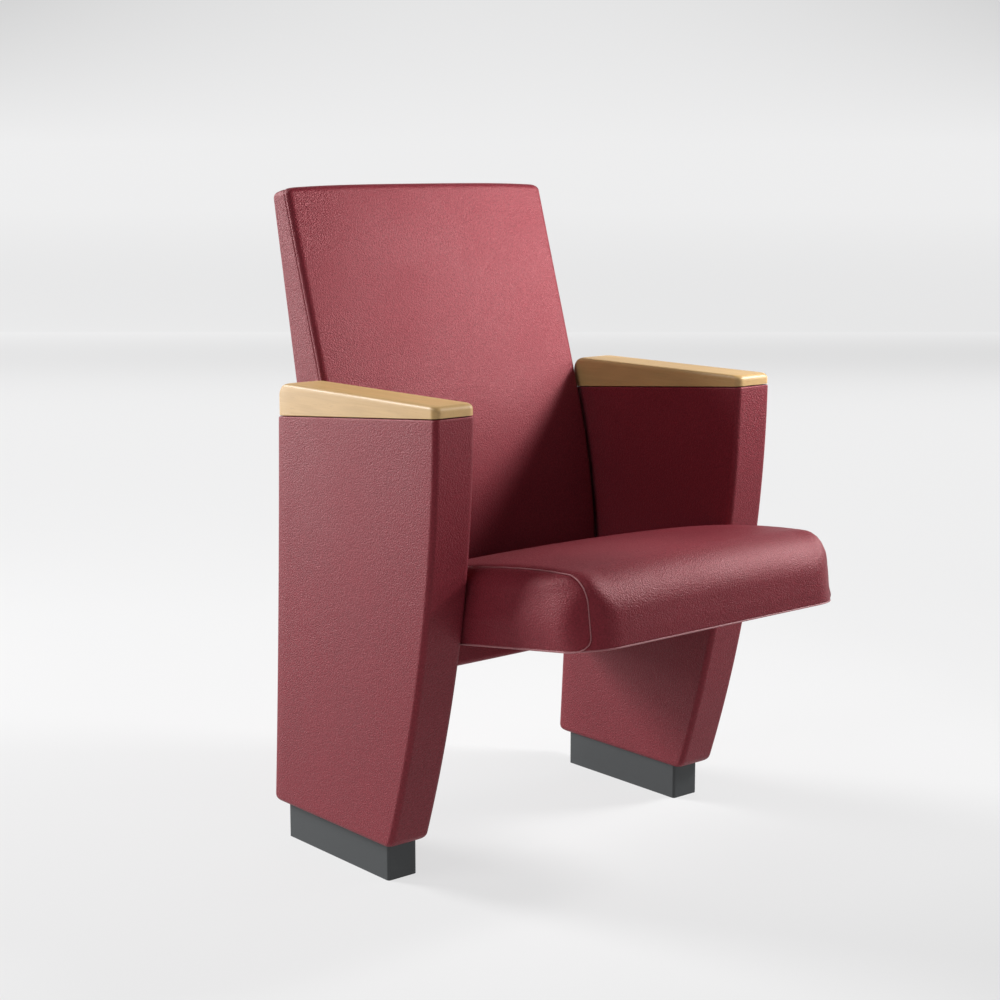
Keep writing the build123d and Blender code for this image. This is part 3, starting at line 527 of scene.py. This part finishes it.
def studio_paper(name, colour, glow, foot=0.0):
    """Pale matt paper of the studio that partly glows by itself.

    Its tone and glow follow its own place only, as painted shade: a soft dark dip where the
    floor turns up, a slight fall-off towards the front, a darker stretch to the near right,
    and darker upper corners. Foot is how much darker the upright part begins, so that it
    meets the floor in the same tone.
    """
    r = Recipe(name)
    where = r.node("TexCoord", output="Object")
    depth = r.node("VectorMath", {0: where, 1: (*AHEAD, 0.0)}, DOT, "Value")
    side = r.node("VectorMath", {0: where, 1: (*ASIDE, 0.0)}, DOT, "Value")
    height = r.node("SeparateXYZ", {0: where}, output="Z")
    away = (depth - 7.1) / 1.5
    bend = 1.0 / (1.0 + away * away * away * away + away * away)
    right = side.between(-3.0, 3.0, 0.12, 0.19)
    rising = height.between(0.0, 0.65, foot, 0.0)
    near = depth.between(-0.6, 1.4, 0.06, 0.0)
    near_right = side.between(-0.1, 1.5, 0.0, 0.07) * depth.between(-0.8, 2.2, 1.0, 0.0)
    upper = height.between(1.05, 1.95, 0.0, 1.0)
    wide = (side / 3.1) * (side / 3.1)
    # Painted shade: the paper's tone and glow are dimmed at the bend, the front, the near right,
    # the foot and the upper corners.
    painted_dim = bend * right + near + near_right + rising + upper * (0.08 + wide * 0.17)
    level = 1.0 - painted_dim
    tooth = r.noise(160.0)
    black = (0.0, 0.0, 0.0, 1.0)
    paper = (level * tooth.between(0.0, 1.0, 0.994, 1.006)).blend(black, toned(colour, 1.0))
    glowing = level.blend(black, (glow, glow, glow * 1.004, 1.0))
    r.tree.links.new(glowing.socket, r.shader.inputs["Emission Color"])
    return r.made(paper, 0.9, Specular_IOR_Level=0.1, Emission_Strength=1.0)


_made = {}


def finish_of(kind):
    """The shared material of one finish, made the first time it is asked for."""
    if kind in _made:
        return _made[kind]
    look = bpy.context.scene.seat_finishes
    recipes = {
        "upholstery": lambda: leather("burgundy_leather", look.leather),
        "thread": lambda: thread("seam_thread", look.thread),
        "arm_wood": lambda: lacquered_wood("lacquered_beech", look.wood),
        "plywood": lambda: plywood("birch_plywood", look.plywood),
        "timber": lambda: lacquered_wood("softwood_batten", toned(look.plywood, 0.9), 0.6),
        "shoe_paint": lambda: painted_steel("shoe_paint", look.shoe, 0.5),
        "frame_steel": lambda: painted_steel("frame_paint", look.frame, 0.42),
        "zinc_steel": lambda: plated_steel("zinc_plate", look.zinc),
        "spring_steel": lambda: plated_steel("spring_wire", toned(look.zinc, 0.62), 0.28),
        "nylon": lambda: moulded("white_nylon", (0.72, 0.71, 0.66, 1.0), 0.42),
        "rubber": lambda: moulded("black_rubber", (0.03, 0.03, 0.032, 1.0), 0.7),
    }
    _made[kind] = recipes[kind]()
    return _made[kind]


def dress(piece, kind, body, slot=None, *replaced):
    """Gives a new piece its finish and its body, and hides the CAD nodes that it stands for."""
    piece.data.materials.clear()
    piece.data.materials.append(finish_of(kind))
    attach(piece, body)
    if replaced:
        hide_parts(*replaced)


# --- seat cushion
def seat_stations(half, round_front, seam):
    """Distances from the side where the cushion has a section, from one side to the other."""
    turn = np.linspace(0.0, pi / 2, 26)
    edge = round_front * (1.0 - np.cos(turn))
    close = np.linspace(seam - 7.0, seam + 9.0, 33)
    middle = np.linspace(round_front, half, 22)[1:]
    inside = edge[(edge < close[0] - 0.3) | (edge > close[-1] + 0.3)]
    e = np.sort(np.concatenate([inside, close, middle]))
    x = half - e
    return np.concatenate([-x, x[::-1][1:]]), np.concatenate([e, e[::-1][1:]])


def cushion_rows(sizes):
    """Sections of the seat cushion, one closed loop per place across the seat.

    Top: peak - (u - u0)^2 / (2 sweep) - crown (x / half)^2 - quarter-circle drop at the sides.
    Front and rear: straight, set back in plan by a quarter circle at the corners; every
    section joins them to the top and the underside with quarter circles. The seam pulls the
    surface in by an exponential on both sides of it; the middle swells by 1 mm, and the side
    pillow ahead of the panels by a sine over its height.
    """
    half = sizes.half_width / MM
    front_at = sizes.front_reach / MM
    rear_at = -sizes.rear_reach / MM
    seam = sizes.seam_inset / MM
    corner = sizes.corner_round / MM
    x, e = seat_stations(half, corner, seam)
    x, e = x[:, None], e[:, None]
    blend = eased((e - seam) / (corner - seam))
    front = front_at - fallen(e, corner)
    rear = rear_at + fallen(e, REAR_CORNER)
    top_round = SIDE_FRONT_ROUND + (sizes.front_round / MM - SIDE_FRONT_ROUND) * blend
    rear_round = SIDE_REAR_ROUND + (REAR_ROUND - SIDE_REAR_ROUND) * blend
    floor = fallen(e, FLOOR_ROUND)

    def top(u):
        sweep = np.where(u > CROWN_AT, FRONT_SWEEP, REAR_SWEEP)
        rise = sizes.peak / MM - (u - CROWN_AT) ** 2 / (2.0 * sweep)
        return rise - sizes.crown / MM * (x / half) ** 2 - fallen(e, sizes.side_round / MM)

    def line(a, b, count):
        s = np.linspace(0.0, 1.0, count, endpoint=False)[None, :]
        return a + (b - a) * s

    quarter = np.linspace(0.0, pi / 2, ARC_STEPS, endpoint=False)[None, :]
    little = np.linspace(0.0, pi / 2, FOOT_STEPS, endpoint=False)[None, :]
    foot = FOOT_ROUND
    under = line(rear + foot, front - foot, UNDER_STEPS)
    face = line(floor + foot, top(front) - top_round, FACE_STEPS)
    front_arc = front - top_round + top_round * np.cos(quarter)
    flat = line(front - top_round, rear + rear_round, TOP_STEPS)
    coarse = quarter[:, ::2]
    rear_arc = rear + rear_round - rear_round * np.sin(coarse)
    rear_face = line(top(rear) - rear_round, floor + foot, 10)
    last = little[:, ::3]
    parts = (
        (under, floor),
        (front - foot + foot * np.sin(little), floor + foot - foot * np.cos(little)),
        (front, face),
        (front_arc, top(front_arc) - top_round + top_round * np.sin(quarter)),
        (flat, top(flat)),
        (rear_arc, top(rear_arc) - rear_round + rear_round * np.cos(coarse)),
        (rear, rear_face),
        (rear + foot - foot * np.cos(last), floor + foot - foot * np.sin(last)),
    )
    u, v = joined(parts)
    rows = seat_place(x, u, v)
    normal = outward(rows)
    on_top = UNDER_STEPS + FOOT_STEPS + FACE_STEPS + ARC_STEPS + 2
    if normal[len(x) // 2, on_top, 2] < 0:
        normal = -normal
    depth = sizes.seam_depth / MM
    inward, outer = SEAM_REACH
    pull = np.where(e > seam, np.exp(-(e - seam) / inward), np.exp(-(seam - e) / outer))
    side = eased((v - 6.0) / 14.0)
    pucker = 1.0 + 0.18 * np.sin(u * 0.55) * np.sin(u * 0.13 + v * 0.31)
    rows = rows - normal * (depth * pull * side * pucker)[..., None]
    height = np.clip(v / sizes.side_height * MM, 0.0, 1.0)
    ahead = eased((u - PILLOW_AT) / PILLOW_EASE)
    plump = ahead * np.sin(pi * height) * eased((seam - e) / seam)
    swelling = eased((e - seam) / 60.0) * side + sizes.pillow / MM * plump
    return e[:, 0], rows + normal * swelling[..., None], normal


class SeatSizes(bpy.types.PropertyGroup):
    """Sizes of the seat cushion."""

    half_width: length_of(
        "Half width", "Middle of the seat to its side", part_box("seat_padding")[1][0] + 0.0015
    )
    front_reach: length_of("Front reach", "Hinge to the front face, along the seat", 0.4051)
    rear_reach: length_of("Rear reach", "Hinge to the rear face, along the seat", 0.084)
    peak: length_of("Peak", "Height of the crown above the underside", 0.1108)
    crown: length_of("Crown", "Fall of the top from the middle to the sides", 0.0053)
    side_round: length_of("Side rounding", "Radius between the top and the sides", 0.03)
    front_round: length_of("Front rounding", "Radius between the top and the front", 0.055)
    corner_round: length_of(
        "Corner rounding", "Radius of the front corners, seen from above", 0.058
    )
    seam_inset: length_of("Seam inset", "Side of the seat to the sewn side seam", 0.018)
    seam_turn: length_of("Seam turn", "Radius of the side seam's lower front corner", 0.0175)
    seam_depth: length_of("Seam depth", "How deep the side seam is pulled in", 0.0019)
    side_bulge: length_of("Side bulge", "How far the side pillow swells", 0.0022)
    pillow: length_of("Pillow", "How far the side swells ahead of the panels", 0.0045)
    side_height: length_of("Side height", "Height over which the pillow swells", 0.075)
    welt: length_of("Welt radius", "Radius of the piping round the underside", 0.0011)


class SEAT_OT_cushion(bpy.types.Operator):
    """Make the crowned seat cushion with its side pillows, piping and underside"""

    bl_idname = "seat.cushion"
    bl_label = "Seat cushion"

    def execute(self, context):
        sizes = context.scene.seat_sizes
        e, rows, normal = cushion_rows(sizes)
        bulge = sizes.side_bulge / MM
        closed = capped(rows, 18, (-bulge, 0.0, 0.0), (bulge, 0.0, 0.0))
        pillow = skin("seat_cushion", closed)
        nodes = ("seat_cover", "seat_padding", "left_seat_side_cover", "right_seat_side_cover")
        dress(pillow, "upholstery", "seat", "upholstery", *nodes)
        self.seams(sizes, e, rows, normal)
        self.underside(sizes)
        return {"FINISHED"}

    def seams(self, sizes, e, rows, normal):
        """Raised cord in each side seam; at the pillow's lower front corner it turns back.

        Distance to the side, below the height turn: seam - turn (1 - sqrt(1 - low^2)) with
        low = 1 - height / turn.
        """
        seam = sizes.seam_inset / MM
        turn = sizes.seam_turn / MM
        half = len(e) // 2
        row = int(np.argmin(abs(e[:half] - seam)))
        height = (rows[row] - rows[row, UNDER_STEPS // 2]) @ UP
        column = np.arange(rows.shape[1])
        front = column < UNDER_STEPS + FOOT_STEPS + FACE_STEPS
        low = np.where(front, np.clip(1.0 - height / turn, 0.0, 1.0), 0.0)
        across = seam - 0.96 * turn * (1.0 - np.sqrt(1.0 - low * low))
        place = np.interp(across, e[:half], np.arange(half))
        first = np.floor(place).astype(int)
        part = (place - first)[:, None]
        lifted = rows + normal * 0.7
        path = lifted[first, column] * (1.0 - part) + lifted[first + 1, column] * part
        for side, mirror in (("left", 1.0), ("right", -1.0)):
            line = resampled(path * np.array([mirror, 1.0, 1.0]), 2.2)
            cord = bead(f"{side}_seat_seam", line, (1.0, 0.0, 0.0), 0.85, 8)
            dress(cord, "thread", "seat", "upholstery")

    def underside(self, sizes):
        """Base cover: a flat upholstered plate with piping along the cushion's lower edge."""
        half = sizes.half_width / MM
        front = sizes.front_reach / MM
        length = front + sizes.rear_reach / MM

        def loop(inset, v):
            rounds = [sizes.corner_round / MM - inset], [REAR_CORNER - inset]
            x, t = rounded_plan([half - inset], [length - 2 * inset], *rounds)
            return seat_place(x[0], front - inset - t[0], v)

        levels = ((9.0, 2.2), (8.0, 0.9), (7.4, 0.25), (8.2, -0.35), (10.0, -0.6))
        loops = np.stack([loop(inset, v) for inset, v in levels])
        plate = skin("seat_base_upholstery", capped(loops, 10))
        dress(plate, "upholstery", "seat", "upholstery", "seat_base_cover")
        path = resampled(loop(0.7, 0.9), 3.0)
        welt = bead("seat_base_piping", path, UP, sizes.welt / MM, 10)
        dress(welt, "thread", "seat", "upholstery")
        path = resampled(loop(13.0, -0.72), 5.2)
        sewn = stitches("seat_base_stitches", path, UP, 3.4, 0.62)
        dress(sewn, "thread", "seat", "upholstery")


# --- backrest
class BackSizes(bpy.types.PropertyGroup):
    """Sizes of the backrest upholstery."""

    half_width: length_of(
        "Half width", "Middle of the backrest to its side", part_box("back_side_bands")[1][0]
    )
    crown: length_of("Crown", "How far the front stands out in the middle", 0.004)
    top_crown: length_of("Top crown", "How far the top falls towards the sides", 0.0035)
    front_round: length_of(
        "Front rounding", "Radius between the front and the side bands", 0.0098
    )
    rear_round: length_of("Rear rounding", "Radius of the rear edges", 0.004)
    seam_depth: length_of("Seam depth", "How deep the side band's seam is pulled in", 0.0009)


def back_front(z):
    """y of the front face at a height: plumb, then an arc, then a straight recline."""
    reach = BACK_BEND_RADIUS * sin(RECLINE)
    rise = np.clip(z - BACK_BEND, 0.0, reach)
    arc = BACK_FACE + BACK_BEND_RADIUS - np.sqrt(BACK_BEND_RADIUS**2 - rise**2)
    return arc + np.maximum(z - BACK_BEND - reach, 0.0) * np.tan(RECLINE)


def back_rear(z):
    """y of the rear face at a height: an arc from the foot up, then a straight lean."""
    reach = REAR_BEND_END - BACK_FOOT
    radius = reach / sin(REAR_LEAN)
    start = REAR_TOP[0] - (REAR_TOP[1] - REAR_BEND_END) * np.tan(REAR_LEAN)
    straight = start + (z - REAR_BEND_END) * np.tan(REAR_LEAN)
    rise = np.clip(z - BACK_FOOT, 0.0, reach)
    arc = start + radius * cos(REAR_LEAN) - np.sqrt(radius**2 - rise**2)
    return np.where(z > REAR_BEND_END, straight, arc)


def back_rows(sizes):
    """Sections of the backrest from its foot to its top, one closed loop per height.

    Section: rounded rectangle between front(z) and rear(z) along a chord that turns from level
    at the foot to the fall of the top. Near the ends each side is drawn in by a quarter
    circle of its own radius. The front bows out by crown (x / half)^2.
    """
    half = sizes.half_width / MM
    front_round = sizes.front_round / MM
    rear_round = sizes.rear_round / MM
    turn = np.linspace(0.0, pi / 2, 14)
    end = front_round * (1.0 - np.cos(turn))
    tall = BACK_TOP - BACK_FOOT
    middle = np.linspace(front_round, tall - front_round, 90)
    up = np.unique(np.concatenate([end, middle, tall - end]))
    share = up / tall
    z_front = BACK_FOOT + up
    z_rear = BACK_FOOT + share * (REAR_TOP[1] - BACK_FOOT)
    e_front = fallen(up, front_round) + fallen(tall - up, front_round)
    e_rear = fallen(up, rear_round) + fallen(tall - up, rear_round)
    y_front = back_front(z_front)
    y_rear = back_rear(z_rear)
    length = np.hypot(y_rear - y_front, z_rear - z_front)
    inner = length - e_front - e_rear
    rounds = np.full_like(up, front_round), np.full_like(up, rear_round)
    x, t = rounded_plan(half - e_front, inner, *rounds)
    bow = sizes.crown / MM * (x / half) ** 2 * (1.0 - t / inner[:, None])
    t = t + bow + e_front[:, None]
    share_t = t / length[:, None]
    y = on_chord(y_front, y_rear, share_t)
    z = on_chord(z_front, z_rear, share_t)
    z = z - sizes.top_crown / MM * (x / half) ** 4 * eased((share[:, None] - 0.6) / 0.4)
    rows = np.stack([x, y, z], axis=-1)
    normal = outward(rows)
    if normal[len(up) // 2, 0, 1] > 0:
        normal = -normal
    return rows, normal


class SEAT_OT_backrest(bpy.types.Operator):
    """Make the reclined backrest with its crowned front, side bands and rear cover"""

    bl_idname = "seat.backrest"
    bl_label = "Backrest"

    def execute(self, context):
        sizes = context.scene.back_sizes
        rows, normal = back_rows(sizes)
        size = rows.shape[1]
        # A loop's front edge and corner come first; the side band is sewn on after them, and
        # again at the mirror image. Each seam is a narrow groove in a wide shallow one.
        first = LINE_POINTS + CORNER_POINTS
        length = np.linalg.norm(np.roll(rows, -1, axis=1) - rows, axis=-1)
        run = np.cumsum(length, axis=1) - length
        total = length.sum(axis=1, keepdims=True)
        pull = np.zeros_like(run)
        for seam in (first, size - first):
            gap = abs(run - run[:, seam : seam + 1])
            gap = np.minimum(gap, total - gap)
            pull = pull + ridge(gap, 1.3) + 0.35 * ridge(gap, 5.0)
        depth = sizes.seam_depth / MM
        shaped = rows - normal * (depth * pull)[..., None]
        body = skin("backrest_upholstery", capped(shaped, 12))
        nodes = ("back_padding", "back_front_cover", "back_side_bands", "back_rear_cover")
        dress(body, "upholstery", "frame", "upholstery", *nodes)
        return {"FINISHED"}


# --- pedestals
class PedestalSizes(bpy.types.PropertyGroup):
    """Sizes of the side pedestals and their arm caps."""

    edge: length_of("Edge rounding", "Radius of the panel's upright edges", 0.008)
    corner: length_of(
        "Lower corner", "Radius of the panel's lower corners, seen from the side", 0.0125
    )
    bulge: length_of("Side bulge", "How far the panel's padded sides swell", 0.0008)
    cap_edge: length_of("Cap arris", "Radius of the arm cap's long upper edges", 0.006)
    cap_rear: length_of(
        "Cap rear rounding", "Radius of the arm cap's rear end, seen from the side", 0.02
    )
    joint: length_of("Shadow joint", "Height of the dark joint under the arm cap", 0.0012)


def arched(z, edge, bow):
    """y at a height on a flat circular arc from edge[0] to edge[1]: chord + bow * 4 s (1 - s)."""
    foot, head = np.array(edge)
    s = (z - foot[1]) / (head[1] - foot[1])
    across = (head[1] - foot[1]) / np.linalg.norm(head - foot)
    return foot[0] + (head[0] - foot[0]) * s + bow * 4.0 * s * (1.0 - s) / across


def half_and_middle(node):
    """Half the width of a CAD node, the x of its middle and the z of its top."""
    lower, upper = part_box(node)
    x0, x1 = lower[0] / MM, upper[0] / MM
    return (x1 - x0) / 2.0, (x0 + x1) / 2.0, upper[2] / MM


class SEAT_OT_pedestals(bpy.types.Operator):
    """Make the upholstered panel of each pedestal"""

    bl_idname = "seat.pedestals"
    bl_label = "Pedestal upholstery"

    def execute(self, context):
        sizes = context.scene.pedestal_sizes
        for side in ("left", "right"):
            body = skin(f"{side}_panel_upholstery", capped(self.rows(sizes, side), 8))
            nodes = (f"{side}_panel_cover", f"{side}_panel_padding")
            dress(body, "upholstery", "frame", "upholstery", *nodes)
        return {"FINISHED"}

    def rows(self, sizes, side):
        """Sections from the foot to the top: rounded rectangles on a chord that turns from
        level to the slope of the arm, drawn in by quarter circles at both ends."""
        edge, corner = sizes.edge / MM, sizes.corner / MM
        half, middle, _ = half_and_middle(f"{side}_panel_cover")
        turn = np.linspace(0.0, pi / 2, 14)
        foot = corner * (1.0 - np.cos(turn))
        head = TOP_ROUND * (1.0 - np.cos(turn[::2]))
        start = FRONT_EDGE[0][1]
        tall = FRONT_EDGE[1][1] - start
        straight = np.linspace(corner, tall - TOP_ROUND, 60)
        up = np.unique(np.concatenate([foot, straight, tall - head]))
        share = up / tall
        z_front = start + up
        z_rear = start + share * (REAR_EDGE[1][1] - start)
        e_side = fallen(up, edge) + fallen(tall - up, TOP_ROUND)
        e_ends = fallen(up, corner) + fallen(tall - up, TOP_ROUND)
        y_front = arched(z_front, FRONT_EDGE, -FRONT_BOW) + e_ends
        y_rear = arched(z_rear, REAR_EDGE, -REAR_HOLLOW) - e_ends
        length = np.hypot(y_rear - y_front, z_rear - z_front)
        rounds = np.full_like(up, edge)
        x, t = rounded_plan(half - e_side, length, rounds, rounds)
        share_t = t / length[:, None]
        swell = sizes.bulge / MM * np.sin(pi * share_t) * np.sin(pi * share)[:, None]
        x = x * (1.0 + swell / half)
        y = on_chord(y_front, y_rear, share_t)
        z = on_chord(z_front, z_rear, share_t)
        return np.stack([x + middle, y, z], axis=-1)


class SEAT_OT_arm_caps(bpy.types.Operator):
    """Make the wooden arm caps on their dark shadow joints"""

    bl_idname = "seat.arm_caps"
    bl_label = "Arm caps"

    def execute(self, context):
        sizes = context.scene.pedestal_sizes
        for side in ("left", "right"):
            body = skin(f"{side}_wood_cap", capped(self.rows(sizes, side), 8))
            dress(body, "arm_wood", "frame", "arm_wood", f"{side}_arm_cap")
        return {"FINISHED"}

    def rows(self, sizes, side):
        """Sections from the joint to the top: the lower ones slope with the panel, the upper
        ones are level; quarter circles draw the top in, the largest at the rear end."""
        half, middle, top = half_and_middle(f"{side}_arm_cap")
        arris, rear_round = sizes.cap_edge / MM, sizes.cap_rear / MM
        low_front = FRONT_EDGE[1][1] + sizes.joint / MM
        low_rear = REAR_EDGE[1][1] + sizes.joint / MM
        below = np.linspace(0.0, pi / 2, 6)
        start = CAP_FOOT_ROUND * (1.0 - np.cos(below)) / CAP_DEPTH
        finish = 1.0 - (1.0 - np.cos(np.linspace(0.0, pi / 2, 20))) * 0.44
        share = np.unique(np.concatenate([start, np.linspace(0.03, 0.56, 12), finish]))
        z_front = low_front + share * (top - low_front)
        z_rear = low_rear + share * (top - low_rear)
        e_low = fallen(share * CAP_DEPTH, CAP_FOOT_ROUND)
        y_front = FRONT_EDGE[1][0] + e_low + fallen(top - z_front, CAP_FRONT_ROUND)
        y_rear = CAP_REAR - e_low - fallen(top - z_rear, rear_round)
        length = np.hypot(y_rear - y_front, z_rear - z_front)
        rounds = np.full_like(share, 10.0), np.full_like(share, 8.0)
        x, t = rounded_plan(half - e_low, length, *rounds)
        share_t = t / length[:, None]
        y = on_chord(y_front, y_rear, share_t)
        z = on_chord(z_front, z_rear, share_t)
        drop = fallen(top - z, arris)
        x = x * (half - e_low[:, None] - drop) / (half - e_low[:, None])
        return np.stack([x + middle, y, z], axis=-1)


# --- carried-over parts
# Words in the names of the CAD nodes; the first finish with a word that fits is taken.
KINDS = {
    "zinc_steel": ("hinge_axle", "stop_crank", "screws", "clips", "bolt", "nuts", "spacers"),
    "frame_steel": ("base_plate", "post", "side_plate", "back_rail", "seat_arm"),
    "shoe_paint": ("foot_cover",),
    "plywood": ("board",),
    "timber": ("rib", "cross_rails", "battens"),
    "nylon": ("bush",),
    "rubber": ("buffers",),
    "spring_steel": ("return_spring",),
    "arm_wood": ("arm_cap",),
    "upholstery": ("cover", "bands", "padding"),
}


def kind_of(node):
    """The finish of a CAD node, by the words in its name."""
    for kind, words in KINDS.items():
        if any(word in node for word in words):
            return kind
    raise RuntimeError(f"no finish for {node}")


class SEAT_OT_carried_parts(bpy.types.Operator):
    """Give every CAD part that stays its own procedural finish"""

    bl_idname = "seat.carried_parts"
    bl_label = "Frame, hinge and boards"

    def execute(self, context):
        for name, node in frame["nodes"].items():
            node.data.materials.clear()
            node.data.materials.append(finish_of(kind_of(name)))
        return {"FINISHED"}


# --- finishes
class Finishes(bpy.types.PropertyGroup):
    """Colours of the seat."""

    leather: colour_of("Upholstery", "Burgundy of the coated upholstery", 0.127, 0.0125, 0.0198)
    # The thread is lighter than the upholstery: partly its own tone, partly a painted highlight
    # along the piping and seams.
    thread: colour_of("Thread", "Seam cord and stitches", 0.27, 0.075, 0.085)
    wood: colour_of("Arm wood", "Lacquered pale hardwood of the arm caps", 0.43, 0.272, 0.112)
    plywood: colour_of("Plywood", "Hidden boards", 0.56, 0.4, 0.24)
    shoe: colour_of("Shoe paint", "Dark grey paint of the foot covers", 0.026, 0.0295, 0.0315)
    frame: colour_of("Frame paint", "Black paint of the hidden steel", 0.035, 0.036, 0.038)
    zinc: colour_of("Zinc", "Plated screws, axles and bolts", 0.66, 0.66, 0.64)
    paper: colour_of("Backdrop", "Pale floor and backdrop", 0.14, 0.14, 0.14)


# --- stage
class StageSettings(bpy.types.PropertyGroup):
    """Studio lights and camera."""

    left: strength_of("Left sun", "Strength of the low light from the left, behind", 4.06)
    upper: strength_of("Upper sun", "Strength of the high light from the left", 1.17)
    front: strength_of("Front sun", "Strength of the weak light from the front", 0.35)
    left_lamp: power_of("Left lamp", "Power of the soft box on the left, behind", 29.7)
    right_lamp: power_of("Right lamp", "Power of the larger soft box on the right", 14.3)
    back_lamp: power_of(
        "Back lamp", "Power of the small soft box that lights the backrest from the right", 12.0
    )
    room: strength_of(
        "Room light", "Tone of the surroundings past the paper; it lights nothing", 0.8
    )
    floor: strength_of("Floor glow", "How strongly the floor is lit by itself", 0.7)
    wall: strength_of(
        "Wall glow", "How strongly the backdrop's upright part is lit by itself", 0.785
    )
    lens: strength_of("Lens", "Focal length on a 36 mm sensor, in millimetres", 71.2)


class SEAT_OT_stage(bpy.types.Operator):
    """Make the pale floor and backdrop, the studio lights and the camera"""

    bl_idname = "seat.stage"
    bl_label = "Studio"

    def execute(self, context):
        self.backdrop()
        settings = context.scene.stage_settings
        self.sun("left_sun", (-0.373, 0.8, 0.469), 0.35, settings.left)
        self.sun("upper_sun", (-0.707, 0.0, 0.707), 0.5, settings.upper)
        self.sun("front_sun", (0.0, -0.94, 0.342), 0.5, settings.front)
        self.lamp("left_lamp", (-1.4, 2.2, 0.7), (0.0, 0.1, 0.5), 0.8, settings.left_lamp)
        self.lamp("right_lamp", (1.3, -0.6, 1.1), (0.0, 0.2, 0.7), 0.6, settings.right_lamp)
        at, aim = (1.15, -0.7, 1.45), (0.05, 0.3, 0.76)
        beam = self.lamp("back_lamp", at, aim, 0.3, settings.back_lamp)
        beam.data.spread = radians(100.0)
        world = bpy.data.worlds.new("studio_room")
        world.use_nodes = True
        background = world.node_tree.nodes["Background"]
        background.inputs[0].default_value = (0.95, 0.975, 1.0, 1.0)
        background.inputs[1].default_value = settings.room
        world.cycles_visibility.diffuse = False
        world.cycles_visibility.glossy = False
        context.scene.world = world
        context.scene.view_settings.view_transform = "Standard"
        camera = bpy.data.cameras.new("photo_camera")
        camera.lens = settings.lens
        camera.sensor_width = 36.0
        camera.clip_end = 60.0
        stand = linked("photo_camera", camera)
        stand.location = (-1.8454, -2.0825, 0.9846)
        stand.rotation_euler = (radians(90.0 - 9.924), 0.0, radians(-39.975))
        context.scene.camera = stand
        return {"FINISHED"}

    def backdrop(self):
        """Floor strip carried across the view, then a quarter circle that turns it upright."""
        settings = bpy.context.scene.stage_settings
        paper = bpy.context.scene.seat_finishes.paper
        turn = np.linspace(0.0, pi / 2, 40)
        bend, edge = 900.0, 8300.0
        flat = np.linspace(-9000.0, edge, 40)
        rise = np.linspace(0.0, 9000.0, 20)[1:]
        depth = np.concatenate([edge + bend * np.sin(turn), np.full(19, edge + bend)])
        height = np.concatenate([bend * (1.0 - np.cos(turn)), bend + rise])
        floor = self.strip("studio_floor", flat, 0.0 * flat)
        floor.data.materials.append(studio_paper("studio_paper", paper, settings.floor))
        wall = self.strip("studio_wall", depth, height)
        wall.data.materials.append(studio_paper("studio_wall", paper, settings.wall, 0.105))
        wall.visible_shadow = False

    def strip(self, name, depth, height):
        """A strip 24 m wide whose section is (depth, height), square to the camera."""
        across = np.linspace(-12000.0, 12000.0, 9)
        d, a = np.meshgrid(depth, across, indexing="ij")
        x = d * AHEAD[0] + a * ASIDE[0]
        y = d * AHEAD[1] + a * ASIDE[1]
        grid = np.stack([x, y, np.broadcast_to(height[:, None], d.shape)], axis=-1)
        rows, size = d.shape
        index = np.arange(rows * size).reshape(rows, size)
        corners = [index[:-1, :-1], index[:-1, 1:], index[1:, 1:], index[1:, :-1]]
        mesh = mesh_of(name, grid, np.stack(corners, axis=-1))
        mesh.shade_smooth()
        return linked(name, mesh)

    def sun(self, name, towards, spread, strength):
        """A far light from a direction; spread is the angle that it fills, in radians."""
        light = bpy.data.lights.new(name, "SUN")
        light.angle = spread
        light.energy = strength
        self.placed(light, (0.0, 0.0, 0.0), towards)

    def lamp(self, name, at, aim, size, power):
        """A square soft box at a place, turned to what it lights, unseen by the camera."""
        light = bpy.data.lights.new(name, "AREA")
        light.size = size
        light.energy = power
        stand = self.placed(light, at, np.subtract(at, aim))
        stand.visible_camera = False
        return stand

    def placed(self, light, at, towards):
        """A light object whose beam comes from a direction."""
        stand = linked(light.name, light)
        stand.location = at
        tip = float(np.arctan2(np.hypot(towards[0], towards[1]), towards[2]))
        stand.rotation_euler = (tip, 0.0, float(np.arctan2(towards[0], -towards[1])))
        return stand


# --- panel
class SEAT_PT_panel(bpy.types.Panel):
    """Lists the seat's operators in the sidebar"""

    bl_label = "Tip-up seat"
    bl_idname = "SEAT_PT_panel"
    bl_space_type = "VIEW_3D"
    bl_region_type = "UI"
    bl_category = "Seat"

    def draw(self, context):
        for step in STEPS:
            self.layout.operator(step.bl_idname)


STEPS = (
    SEAT_OT_cushion,
    SEAT_OT_backrest,
    SEAT_OT_pedestals,
    SEAT_OT_arm_caps,
    SEAT_OT_carried_parts,
    SEAT_OT_stage,
)
GROUPS = {
    "seat_sizes": SeatSizes,
    "back_sizes": BackSizes,
    "pedestal_sizes": PedestalSizes,
    "seat_finishes": Finishes,
    "stage_settings": StageSettings,
}


def register():
    for group in GROUPS.values():
        bpy.utils.register_class(group)
    for name, group in GROUPS.items():
        setattr(bpy.types.Scene, name, bpy.props.PointerProperty(type=group))
    for step in STEPS:
        bpy.utils.register_class(step)
    bpy.utils.register_class(SEAT_PT_panel)


def unregister():
    bpy.utils.unregister_class(SEAT_PT_panel)
    for step in reversed(STEPS):
        bpy.utils.unregister_class(step)
    for name in GROUPS:
        delattr(bpy.types.Scene, name)
    for group in GROUPS.values():
        bpy.utils.unregister_class(group)


def main():
    """Builds everything in order."""
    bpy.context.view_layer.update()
    register()
    for step in STEPS:
        getattr(bpy.ops.seat, step.bl_idname.removeprefix("seat."))()


if __name__ == "__main__":
    main()
